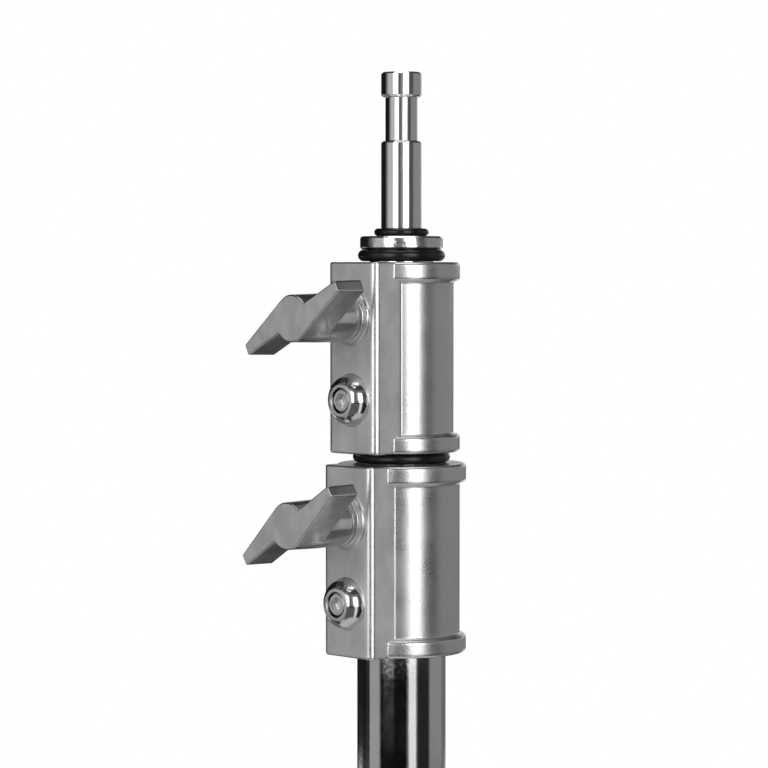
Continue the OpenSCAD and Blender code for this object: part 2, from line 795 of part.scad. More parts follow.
// Cap with the plug that the stud is riveted into
module stud_cap() {
  plug_r = riser_2_id / 2 - fit;
  lip_r = riser_2_od / 2 + cap_lip;
  color("silver") difference() {
    turned([[0, cap_z - cap_plug], [plug_r - edge, cap_z - cap_plug], [plug_r, cap_z - cap_plug + edge],
      [plug_r, cap_z], [lip_r - cap_chamfer, cap_z], [lip_r, cap_z + cap_chamfer],
      [lip_r, cap_top - cap_chamfer], [lip_r - cap_chamfer, cap_top], [0, cap_top]]);
    translate([0, 0, cap_top - stud_tenon - fit]) cylinder(d = stud_tenon_d + 2 * fit, h = stud_tenon + cut);
    cross_hole(cap_z - stud_tenon / 2, riser_2_od);
  }
}
module stud() {
  r = stud_d / 2;
  neck_r = stud_neck_d / 2;
  groove_r = r - stud_groove;
  tenon_r = stud_tenon_d / 2;
  c = stud_chamfer;
  color("silver") difference() {
    turned([[0, cap_top - stud_tenon + fit], [tenon_r, cap_top - stud_tenon + fit], [tenon_r, cap_top + fit],
      [groove_r, cap_top + fit], [groove_r, shank_z], [r, shank_z], [r, shank_top - c], [r - c, shank_top],
      [neck_r, shank_top], [neck_r, neck_top], [r - c, neck_top], [r, neck_top + c], [r, stud_top - c],
      [r - c, stud_top], [0, stud_top]]);
    cross_hole(cap_z - stud_tenon / 2, riser_2_od);
  }
}
module stud_o_ring() {
  color("black") translate([0, 0, cap_top + fit]) rubber_ring(stud_d - 2 * stud_groove, stud_ring_d);
}
module upper_bumper_ring() {
  color("black") translate([0, 0, upper_bumper_z]) rubber_ring(riser_2_od, bumper_d);
}
module stud_rivet() {
  color("silver") cross_rivet(cap_z - stud_tenon / 2, riser_2_od);
}

base_post();
base_receiver();
receiver_screw();
leg_hub_low();
leg_tube_low();
leg_foot_low();
leg_rivet_low();
hub_key_pin();
hub_washers();
disc_spring();
base_flange_washer();
base_nut();
post_plug();
leg_hub_mid();
leg_tube_mid();
leg_foot_mid();
leg_rivet_mid();
leg_hub_high();
leg_tube_high();
leg_foot_high();
leg_rivet_high();
base_brake_pad();
base_knob_handle();
base_knob_screw();
base_knob_washer();
column_seat_washer();
column_spigot();
spigot_rivet();
column_tube();
lower_collar();
lower_collar_screw();
lower_guide_bush();
lower_brake_pad();
lower_knob_handle();
lower_knob_screw();
lower_knob_washer();
riser_1_glide_ring();
riser_1_tube();
upper_collar();
upper_collar_screw();
upper_guide_bush();
lower_bumper_ring();
upper_brake_pad();
upper_knob_handle();
upper_knob_screw();
upper_knob_washer();
riser_2_glide_ring();
riser_2_tube();
stud_cap();
stud();
stud_o_ring();
upper_bumper_ring();
stud_rivet();
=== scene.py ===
"""Looks of a light stand: a column with two risers on three legs, pushed together.

Sizes are in millimetres, and metres begin where a mesh is made. A piece takes its place from the box of the
CAD node that it stands for.
"""

import logging
import math
from dataclasses import dataclass
from enum import Enum
from typing import Any, Optional, Sequence, Union

import bpy
import numpy as np
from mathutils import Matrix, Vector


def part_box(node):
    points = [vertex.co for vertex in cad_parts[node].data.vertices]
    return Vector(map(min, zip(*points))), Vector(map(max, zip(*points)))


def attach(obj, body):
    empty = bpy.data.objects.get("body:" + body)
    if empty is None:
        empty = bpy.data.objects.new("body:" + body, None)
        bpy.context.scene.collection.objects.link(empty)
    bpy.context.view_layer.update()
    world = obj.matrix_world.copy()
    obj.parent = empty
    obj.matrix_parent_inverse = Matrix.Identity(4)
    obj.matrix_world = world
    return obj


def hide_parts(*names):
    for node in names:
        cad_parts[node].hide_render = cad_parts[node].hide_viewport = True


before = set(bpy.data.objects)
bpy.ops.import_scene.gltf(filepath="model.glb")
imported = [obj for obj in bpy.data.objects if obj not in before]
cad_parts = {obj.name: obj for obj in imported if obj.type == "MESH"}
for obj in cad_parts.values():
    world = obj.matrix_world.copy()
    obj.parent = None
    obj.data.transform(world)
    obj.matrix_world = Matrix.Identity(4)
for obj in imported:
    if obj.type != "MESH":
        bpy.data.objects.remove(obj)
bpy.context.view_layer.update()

LOG = logging.getLogger("light_stand")
Corner = tuple[float, float, float]
MM = 0.001

# Edges that bend by more than this are shaded sharp
SHARP_DEG = 34.0

# How far off the points beside an arc lie, as a share of its radius, and the same between close grooves
SUPPORT = 0.3
CLOSE_SUPPORT = 0.2

# How deep a boss reaches into the casting behind it, and the gap between pieces that fit
SUNK = 1.0
FIT = 0.05

# Steps that keep two rows of points apart
HAIR = 0.02
STEP = 0.01

# Radii of small edges, from fine to blunt
TINY = 0.1
FINE = 0.2
EASE = 0.25
SOFT = 0.3
WORN = 0.4
BLUNT = 0.5
FULL = 0.6

# Levels of noise between which clouds, pits, ground patches and dust begin and are full
CLOUDS = (0.3, 0.7)
PITS = (0.62, 0.72)
PATCHES = (0.36, 0.66)
DUST = (0.45, 0.75)

# How squarely a ground flat faces along X or Y, and how far out on the casting it begins; its paler shade is
# painted light
SQUARE = (0.965, 0.99)
FLAT_Y = 14.5


class Slot(Enum):
    """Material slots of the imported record."""

    CASTING = "casting"
    HANDLE = "handle"
    CHROME = "chrome"
    STEEL = "steel"
    SPRING_STEEL = "spring_steel"
    RUBBER = "rubber"
    FOOT_RUBBER = "foot_rubber"
    BLACK_PLASTIC = "black_plastic"
    NYLON = "nylon"
    BRASS = "brass"


# Surfaces


class Shell:
    """A closed surface of quads and triangles."""

    def __init__(self, points: np.ndarray, quads: np.ndarray, triangles: np.ndarray) -> None:
        """Keeps the points and turns the faces outwards.

        Args:
            points: one row of x, y and z for each point.
            quads: one row of four point numbers for each quad.
            triangles: one row of three point numbers for each triangle.
        """
        self.points = points
        self.quads = quads
        self.triangles = triangles
        faces = np.concatenate([quads[:, [0, 1, 2]], quads[:, [0, 2, 3]], triangles])
        a, b, c = (points[faces[:, k]] for k in range(3))
        if np.einsum("ij,ij->", a, np.cross(b, c)) < 0:
            self.quads = quads[:, ::-1]
            self.triangles = triangles[:, ::-1]

    def placed(self, x: np.ndarray, y: np.ndarray, z: np.ndarray) -> "Shell":
        """Puts new coordinates in the place of the old ones."""
        self.points = np.stack([x, y, z], axis=1)
        return self

    def shifted(self, x: float = 0, y: float = 0, z: float = 0) -> "Shell":
        """Moves the shell."""
        self.points = self.points + np.array([x, y, z], float)
        return self

    def spun(self, degrees: float) -> "Shell":
        """Turns the shell about Z.

        Args:
            degrees: angle, anticlockwise seen from above.

        Returns:
            The shell itself.
        """
        c, s = math.cos(math.radians(degrees)), math.sin(math.radians(degrees))
        x, y, z = self.points.T
        return self.placed(c * x - s * y, s * x + c * y, z)

    def laid_along_x(self) -> "Shell":
        """Lays the shell down: its +Z turns to +X."""
        x, y, z = self.points.T
        return self.placed(z, y, -x)

    def on_face(self, out: float, height: float) -> "Shell":
        """Stands the shell on a casting's flat side: its +Z turns to -Y and its +Y to +Z.

        Args:
            out: distance of the flat side from the column's axis.
            height: height of the shell's own axis.

        Returns:
            The shell itself.
        """
        x, y, z = self.points.T
        return self.placed(x, -z - out, y + height)


def net(points: np.ndarray, loop: bool = False) -> Shell:
    """Joins a grid of points S(v, u) into a closed surface.

    Each quad joins a point with the next one in its row and with the two beside them in the next row. A row
    always joins its own end. The rows join the first one again, or else the first and last rows are poles,
    each drawn together into one point.

    Args:
        points: rows by columns by three.
        loop: whether the last row joins the first.

    Returns:
        The closed surface.
    """
    rows, columns = points.shape[:2]
    index = np.arange(rows * columns).reshape(rows, columns)
    if not loop:
        index[0], index[-1] = index[0, 0], index[-1, 0]
    lower = index if loop else index[:-1]
    upper = np.roll(index, -1, axis=0) if loop else index[1:]
    corners = [lower, np.roll(lower, -1, axis=1), np.roll(upper, -1, axis=1), upper]
    quads = np.stack(corners, axis=-1).reshape(-1, 4)
    first, last = quads[:, 0] == quads[:, 1], quads[:, 2] == quads[:, 3]
    triangles = np.concatenate([quads[first][:, [0, 2, 3]], quads[last][:, [0, 1, 2]]])
    quads = quads[~(first | last)]
    used = np.unique(np.concatenate([quads.ravel(), triangles.ravel()]))
    renumber = np.zeros(rows * columns, int)
    renumber[used] = np.arange(len(used))
    return Shell(points.reshape(-1, 3)[used], renumber[quads], renumber[triangles])


def round_rows(radii: np.ndarray, angles: np.ndarray) -> np.ndarray:
    """Rows of x and y points, (r(v, u) cos u, r(v, u) sin u)."""
    return np.stack([radii * np.cos(angles), radii * np.sin(angles)], axis=-1)


def raised(outlines: np.ndarray, heights: np.ndarray) -> np.ndarray:
    """Gives each row of x and y points its height."""
    level = np.broadcast_to(heights[:, None, None], outlines.shape[:2] + (1,))
    return np.concatenate([outlines, level], axis=2)


def swept_round(radii: np.ndarray, heights: np.ndarray, loop: bool = False) -> Shell:
    """Turns a profile about Z, with a radius that may also change round the axis.

    S(v, u) = (r(v, u) cos u, r(v, u) sin u, h(v)).

    Args:
        radii: rows by columns, or one radius for each row.
        heights: one height for each row.
        loop: whether the last row joins the first.

    Returns:
        The closed surface.
    """
    around = np.linspace(0, 2 * np.pi, radii.shape[1], endpoint=False)
    return net(raised(round_rows(radii, around), heights), loop)


def turned(profile: np.ndarray, segments: int = 96, loop: bool = False) -> Shell:
    """Turns a profile of (radius, height) points about Z."""
    return swept_round(np.repeat(profile[:, :1], segments, axis=1), profile[:, 1], loop)


def arc(centre: Sequence[float], radius: float, start: float, end: float, steps: int = 8) -> np.ndarray:
    """Points of the circle c + r (cos t, sin t), with t from start to end in degrees."""
    t = np.radians(np.linspace(start, end, steps + 1))
    return np.array(centre) + radius * np.stack([np.cos(t), np.sin(t)], axis=1)


def rounded(corners: Sequence[Corner], steps: int = 6, support: float = SUPPORT) -> np.ndarray:
    """Draws a profile with rounded corners.

    A corner of radius r becomes the arc that touches both of its sides, with one more point on each side a
    little way off, so that the shading of the arc doesn't run over the flat beside it.

    Args:
        corners: x, y and radius of each corner, where 0 keeps it sharp.
        steps: straight steps in each arc.
        support: how far off the points beside an arc lie, as a share of its radius.

    Returns:
        The profile's points.
    """
    places = np.array([corner[:2] for corner in corners], float)
    parts = []
    for place, before, after, corner in zip(
        places, np.roll(places, 1, axis=0), np.roll(places, -1, axis=0), corners
    ):
        radius = corner[2]
        if radius <= 0:
            parts.append(place[None])
            continue
        u = (before - place) / np.linalg.norm(before - place)
        v = (after - place) / np.linalg.norm(after - place)
        half = math.acos(float(np.clip(u @ v, -1, 1))) / 2
        reach = radius / math.tan(half)
        middle = place + (u + v) / np.linalg.norm(u + v) * radius / math.sin(half)
        s, e = place + u * reach - middle, place + v * reach - middle
        t = np.linspace(0, math.atan2(s[0] * e[1] - s[1] * e[0], s @ e), steps + 1)[:, None]
        curve = middle + s * np.cos(t) + np.array([-s[1], s[0]]) * np.sin(t)
        off = reach + support * radius
        parts.append(np.concatenate([[place + u * off], curve, [place + v * off]]))
    return np.concatenate(parts)


def lathe(corners: Sequence[Corner], steps: int, segments: int = 96, loop: bool = False) -> Shell:
    """Turns a profile with rounded corners about Z."""
    return turned(rounded(corners, steps), segments, loop)


def pipe(outer: float, inner: float, low: float, high: float, edge: float = SOFT) -> Shell:
    """A tube with eased ends, from its outer and inner radius and its two heights."""
    corners = [(inner, low, edge), (outer, low, edge), (outer, high, edge), (inner, high, edge)]
    return lathe(corners, steps=3, loop=True)


def torus(inner: float, section: float, height: float, rows: int = 24) -> Shell:
    """A ring of round section: (a + b cos v) about Z at b sin v, resting on a height."""
    b = section / 2
    return turned(arc((inner + b, height + b), b, 0, 360 - 360 / rows, rows - 1), loop=True)


def hexagon(across_flats: float, columns: int) -> np.ndarray:
    """Radius of a hexagon in each direction: half its width over the cosine of the angle from a flat."""
    around = np.linspace(0, 2 * np.pi, columns, endpoint=False)
    return across_flats / 2 / np.cos(np.mod(around, np.pi / 3) - np.pi / 6)


# Shaders


class Value:
    """A node's output, on which +, - and * add Math nodes."""

    def __init__(self, graph: "Graph", socket: bpy.types.NodeSocket) -> None:
        """Keeps the socket and the graph that it is in."""
        self.graph = graph
        self.socket = socket

    def __add__(self, other: "Term") -> "Value":
        """Sum of two values."""
        return self.graph.maths("ADD", self, other)

    def __sub__(self, other: "Term") -> "Value":
        """Difference of two values."""
        return self.graph.maths("SUBTRACT", self, other)

    def __rsub__(self, other: "Term") -> "Value":
        """Difference of a number and this value."""
        return self.graph.maths("SUBTRACT", other, self)

    def __mul__(self, other: "Term") -> "Value":
        """Product of two values."""
        return self.graph.maths("MULTIPLY", self, other)

    __radd__ = __add__


Term = Union[Value, float]


class Graph:
    """Adds nodes to an empty node tree."""

    def __init__(self, tree: bpy.types.NodeTree) -> None:
        """Empties the tree.

        Args:
            tree: the tree of a material or a world.
        """
        tree.nodes.clear()
        self.tree = tree

    def node(
        self,
        kind: str,
        settings: Optional[dict[str, Any]] = None,
        inputs: Optional[dict[Union[str, int], Any]] = None,
        output: Union[str, int] = 0,
    ) -> Value:
        """Adds one node.

        Args:
            kind: the node's type.
            settings: its own settings, which are set first.
            inputs: a value or a link for each socket, by name or number.
            output: the output that is wanted, by name or number.

        Returns:
            That output.
        """
        made = self.tree.nodes.new(kind)
        for name, value in (settings or {}).items():
            setattr(made, name, value)
        for name, value in (inputs or {}).items():
            if isinstance(value, Value):
                self.tree.links.new(value.socket, made.inputs[name])
            else:
                made.inputs[name].default_value = value
        return Value(self, made.outputs[output] if made.outputs else None)

    def maths(self, operation: str, *terms: Term) -> Value:
        """Adds a Math node of one operation on its terms."""
        return self.node("ShaderNodeMath", {"operation": operation}, dict(enumerate(terms)))

    def step(self, value: Value, low: float, high: float) -> Value:
        """Smooth step from 0 at low to 1 at high, and the other way round if low is the higher."""
        inputs = {0: value, 1: low, 2: high, 3: 0.0, 4: 1.0}
        return self.node("ShaderNodeMapRange", {"interpolation_type": "SMOOTHSTEP"}, inputs)

    def blend(self, share: Term, first: Any, second: Any) -> Value:
        """Mixes two colours."""
        return self.node("ShaderNodeMix", {"data_type": "RGBA"}, {0: share, 6: first, 7: second}, 2)

    def split(self, vector: Value) -> list[Value]:
        """The x, y and z of a vector."""
        first = self.node("ShaderNodeSeparateXYZ", None, {0: vector})
        return [Value(self, output) for output in first.socket.node.outputs]

    def place(self, scale: Sequence[float] = (1, 1, 1)) -> Value:
        """Object coordinates, stretched."""
        at = self.node("ShaderNodeTexCoord", output="Object")
        return self.node("ShaderNodeMapping", None, {"Vector": at, "Scale": scale})

    def noise(self, where: Value, size_mm: float, detail: float) -> Value:
        """Noise with lumps of one size."""
        inputs = {"Vector": where, "Scale": 1 / (size_mm * MM), "Detail": detail}
        return self.node("ShaderNodeTexNoise", None, inputs, "Fac")

    def surface(self, inputs: dict[str, Any]) -> None:
        """Ends a material in a Principled shader with these inputs."""
        shader = self.node("ShaderNodeBsdfPrincipled", None, inputs)
        self.node("ShaderNodeOutputMaterial", None, {"Surface": shader})


def new_graph(name: str) -> tuple[bpy.types.Material, Graph]:
    """Makes an empty material.

    Args:
        name: the material's name.

    Returns:
        The material and its graph.
    """
    material = bpy.data.materials.new(name)
    material.use_nodes = True
    return material, Graph(material.node_tree)


def new_object(name: str, data: bpy.types.ID) -> bpy.types.Object:
    """Puts a mesh or a camera into the scene.

    Args:
        name: the object's name.
        data: the mesh or the camera.

    Returns:
        The object.
    """
    made = bpy.data.objects.new(name, data)
    bpy.context.scene.collection.objects.link(made)
    return made


def grey(level: float, warm: float = 0.0) -> tuple[float, float, float, float]:
    """A grey colour, a little warmer or, below 0, cooler."""
    return (level * (1 + warm), level, level * (1 - warm), 1.0)


@dataclass(frozen=True)
class Metal:
    """Cast, turned or plated metal.

    The shade drifts in soft clouds, the gloss changes with them and with a fine grain, and the grain and a
    wider wave lift the surface by some micrometres. Some metals have dull pits. Flats that face along X or Y
    further out than flat_y are ground, and have a gloss and dull patches of their own, and a paler shade of
    their own that is painted light, as if more light fell on those faces.
    """

    name: str
    slot: Slot
    shade: float
    gloss: float
    gloss_drift: float = 0.04
    warm: float = -0.006
    cloud: float = 0.06
    cloud_mm: float = 14.0
    grain_mm: float = 1.4
    grain_um: float = 6.0
    wave_mm: float = 9.0
    wave_um: float = 0.0
    stretch: tuple[float, float, float] = (1, 1, 1)
    pits: float = 0.0
    pit_size: float = 0.6
    pit_shade: float = 0.35
    flat_y: Optional[float] = None
    flat_fade: float = 1.5
    flat_gloss: float = 0.55
    # Paler shade of the ground flats: painted light, as if more light fell on them
    ground_and_painted_light_shade: float = 0.92
    flat_smooth: float = 0.7
    patches: float = 0.16
    patch_size: float = 0.5
    patch_stretch: tuple[float, float, float] = (1, 1, 0.5)
    patch_shade: float = 0.3

    def ground_and_painted_light(self, graph: Graph, place: Value) -> Value:
        """Share of the ground flats, which also carry painted light: 1 where the surface is out far enough
        and faces along X or Y.

        Args:
            graph: the material's graph.
            place: object coordinates.

        Returns:
            The share at each point.
        """
        x, y, _ = graph.split(graph.node("ShaderNodeTexCoord", output="Normal"))
        square = graph.maths("MAXIMUM", graph.maths("ABSOLUTE", x), graph.maths("ABSOLUTE", y))
        out = graph.split(place)[1]
        begun = graph.step(out, -self.flat_y * MM, -(self.flat_y + self.flat_fade) * MM)
        return graph.step(square, *SQUARE) * begun

    def material(self) -> bpy.types.Material:
        """Builds the material of this finish.

        Returns:
            The material.
        """
        material, graph = new_graph(self.name)
        place = graph.place()
        drift = graph.step(graph.noise(place, self.cloud_mm, detail=3), *CLOUDS)
        grain = graph.noise(graph.place(self.stretch), self.grain_mm, detail=3)
        dull = grey(self.shade * (1 - self.cloud), self.warm)
        colour = graph.blend(drift, dull, grey(self.shade, self.warm))
        gloss = self.gloss + (grain - 0.5) * self.gloss_drift + (drift - 0.5) * self.gloss_drift
        height = grain * self.grain_um
        if self.wave_um:
            height = height + graph.noise(place, self.wave_mm, detail=1) * self.wave_um
        if self.pits:
            pit = graph.step(graph.noise(place, self.grain_mm * self.pit_size, detail=4), *PITS)
            colour = graph.blend(pit * self.pits, colour, grey(self.shade * self.pit_shade))
        if self.flat_y is not None:
            ground_and_painted_light_share = self.ground_and_painted_light(graph, place)
            tall = graph.place(self.patch_stretch)
            patch = graph.step(graph.noise(tall, self.cloud_mm * self.patch_size, detail=4), *PATCHES)
            gloss = gloss + ground_and_painted_light_share * (self.flat_gloss - self.gloss)
            # Painted light: the ground flats take the paler shade
            colour = graph.blend(ground_and_painted_light_share, colour, grey(self.ground_and_painted_light_shade, self.warm))
            colour = graph.blend(ground_and_painted_light_share * patch * self.patches, colour, grey(self.shade * self.patch_shade))
            height = height * (1 - ground_and_painted_light_share * self.flat_smooth)
        lift = graph.node("ShaderNodeBump", None, {"Height": height, "Distance": MM * MM, "Strength": 1.0})
        graph.surface({"Base Color": colour, "Metallic": 1.0, "Roughness": gloss, "Normal": lift})
        return material


@dataclass(frozen=True)
class Moulding:
    """Rubber or plastic, matt and a little dusty, with a fine moulded grain."""

    name: str
    slot: Slot
    colour: tuple[float, float, float]
    gloss: float
    dust: float = 0.03
    dust_mm: float = 9.0
    dust_gloss: float = 0.12
    grain_mm: float = 0.5
    grain_um: float = 12.0
    grain_gloss: float = 0.1

    def material(self) -> bpy.types.Material:
        """Builds the material of this finish.

        Returns:
            The material.
        """
        material, graph = new_graph(self.name)
        place = graph.place()
        grain = graph.noise(place, self.grain_mm, detail=3)
        dusty = graph.step(graph.noise(place, self.dust_mm, detail=4), *DUST)
        paler = tuple(c + self.dust for c in self.colour) + (1.0,)
        colour = graph.blend(dusty, self.colour + (1.0,), paler)
        gloss = self.gloss + dusty * self.dust_gloss + (grain - 0.5) * self.grain_gloss
        lift = graph.node("ShaderNodeBump", None, {"Height": grain, "Distance": self.grain_um * MM * MM})
        graph.surface({"Base Color": colour, "Roughness": gloss, "Normal": lift})
        return material


class Finish(Enum):
    """Every finish on the stand. A metal gives its name, slot, shade, gloss and how far the gloss drifts."""

    # The ground flats of the casting block, the dome's rim and the screw head's top take a paler shade:
    # painted light
    CASTING = Metal(
        "cast_satin", Slot.CASTING, 0.76, 0.29, 0.06, grain_mm=0.9, grain_um=28, wave_um=60, flat_y=FLAT_Y
    )
    DOME = Metal("cast_polished", Slot.CASTING, 0.7, 0.12, 0.05, grain_mm=1.2, grain_um=22, flat_y=FLAT_Y)
    HUB = Metal("cast_hub", Slot.CASTING, 0.62, 0.3, 0.08, grain_mm=0.9, grain_um=30, wave_um=60)
    # Painted shade and light on the handle: its sides, undersides and hub take this dark shade, and its
    # ground front a pale one
    HANDLE = Metal(
        "cast_handle", Slot.HANDLE, 0.52, 0.22, 0.08,
        cloud=0.2, cloud_mm=8, grain_mm=1.2, grain_um=30, flat_y=FLAT_Y,
    )
    CHROME = Metal(
        "chrome_plate", Slot.CHROME, 0.8, 0.07, 0.02, cloud=0.03, grain_mm=3, grain_um=14, wave_um=80
    )
    CAP = Metal(
        "chrome_cap", Slot.CHROME, 0.8, 0.16, 0.06, cloud=0.12, cloud_mm=4, grain_mm=2.6, grain_um=150
    )
    TUBE = Metal(
        "chrome_tube", Slot.CHROME, 0.8, 0.06, 0.03, grain_mm=1, grain_um=12, stretch=(1, 1, 0.5), pits=0.5
    )
    STEEL = Metal("zinc_steel", Slot.STEEL, 0.66, 0.24, 0.08, grain_mm=0.6, grain_um=6)
    SCREW = Metal("screw_steel", Slot.STEEL, 0.8, 0.2, 0.06, grain_mm=0.8, grain_um=12, flat_y=FLAT_Y)
    SPRING = Metal("spring_steel", Slot.SPRING_STEEL, 0.3, 0.36, 0.1, grain_mm=0.8, grain_um=4)
    BRASS = Metal("turned_brass", Slot.BRASS, 0.55, 0.3, 0.08, warm=0.35, grain_mm=0.5, grain_um=3)
    RUBBER = Moulding("ring_rubber", Slot.RUBBER, (0.007, 0.007, 0.007), 0.24, 0.004)
    SOLE = Moulding("foot_rubber", Slot.FOOT_RUBBER, (0.03, 0.03, 0.031), 0.6)
    PLASTIC = Moulding("black_plastic", Slot.BLACK_PLASTIC, (0.03, 0.03, 0.03), 0.5)
    NYLON = Moulding("nylon", Slot.NYLON, (0.75, 0.73, 0.68), 0.5)


class Workshop:
    """Makes pieces out of shells, and dresses CAD nodes."""

    def __init__(self) -> None:
        """Starts with no material made."""
        self.materials: dict[Finish, bpy.types.Material] = {}
        self.quads = 0

    def material(self, finish: Finish) -> bpy.types.Material:
        """The finish's material, made the first time that it is asked for.

        Args:
            finish: the finish that is wanted.

        Returns:
            The material.
        """
        if finish not in self.materials:
            self.materials[finish] = finish.value.material()
        return self.materials[finish]

    def piece(self, name: str, shells: Sequence[Shell], finish: Finish, body: str, *nodes: str) -> None:
        """Makes one piece and ties it to its body and the nodes that it stands for.

        Args:
            name: the piece's name.
            shells: its closed surfaces.
            finish: what it is made of.
            body: the CAD body that it rides on.
            nodes: the CAD nodes that it replaces.
        """
        points, faces, count = [], [], 0
        for shell in shells:
            faces += (shell.quads + count).tolist() + (shell.triangles + count).tolist()
            points.append(shell.points)
            count += len(shell.points)
        mesh = bpy.data.meshes.new(name)
        mesh.from_pydata((np.concatenate(points) * MM).tolist(), [], faces)
        mesh.shade_smooth()
        mesh.set_sharp_from_angle(angle=math.radians(SHARP_DEG))
        mesh.materials.append(self.material(finish))
        made = new_object(name, mesh)
        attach(made, body)
        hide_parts(*nodes)
        self.quads += len(faces)
        LOG.info("%s: %d faces on %s", name, len(faces), body)

    def dress(self, finish: Finish, *nodes: str) -> None:
        """Gives CAD nodes that stay their material.

        Args:
            finish: what they are made of.
            nodes: their names.
        """
        for name in nodes:
            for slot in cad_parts[name].material_slots:
                slot.material = self.material(finish)
            LOG.info("%s: kept, %s", name, finish.value.name)


def low_z(node: str) -> float:
    """Lowest height of a CAD node, in millimetres."""
    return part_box(node)[0].z / MM


def high_z(node: str) -> float:
    """Highest height of a CAD node, in millimetres."""
    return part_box(node)[1].z / MM


# The castings and what is screwed to them


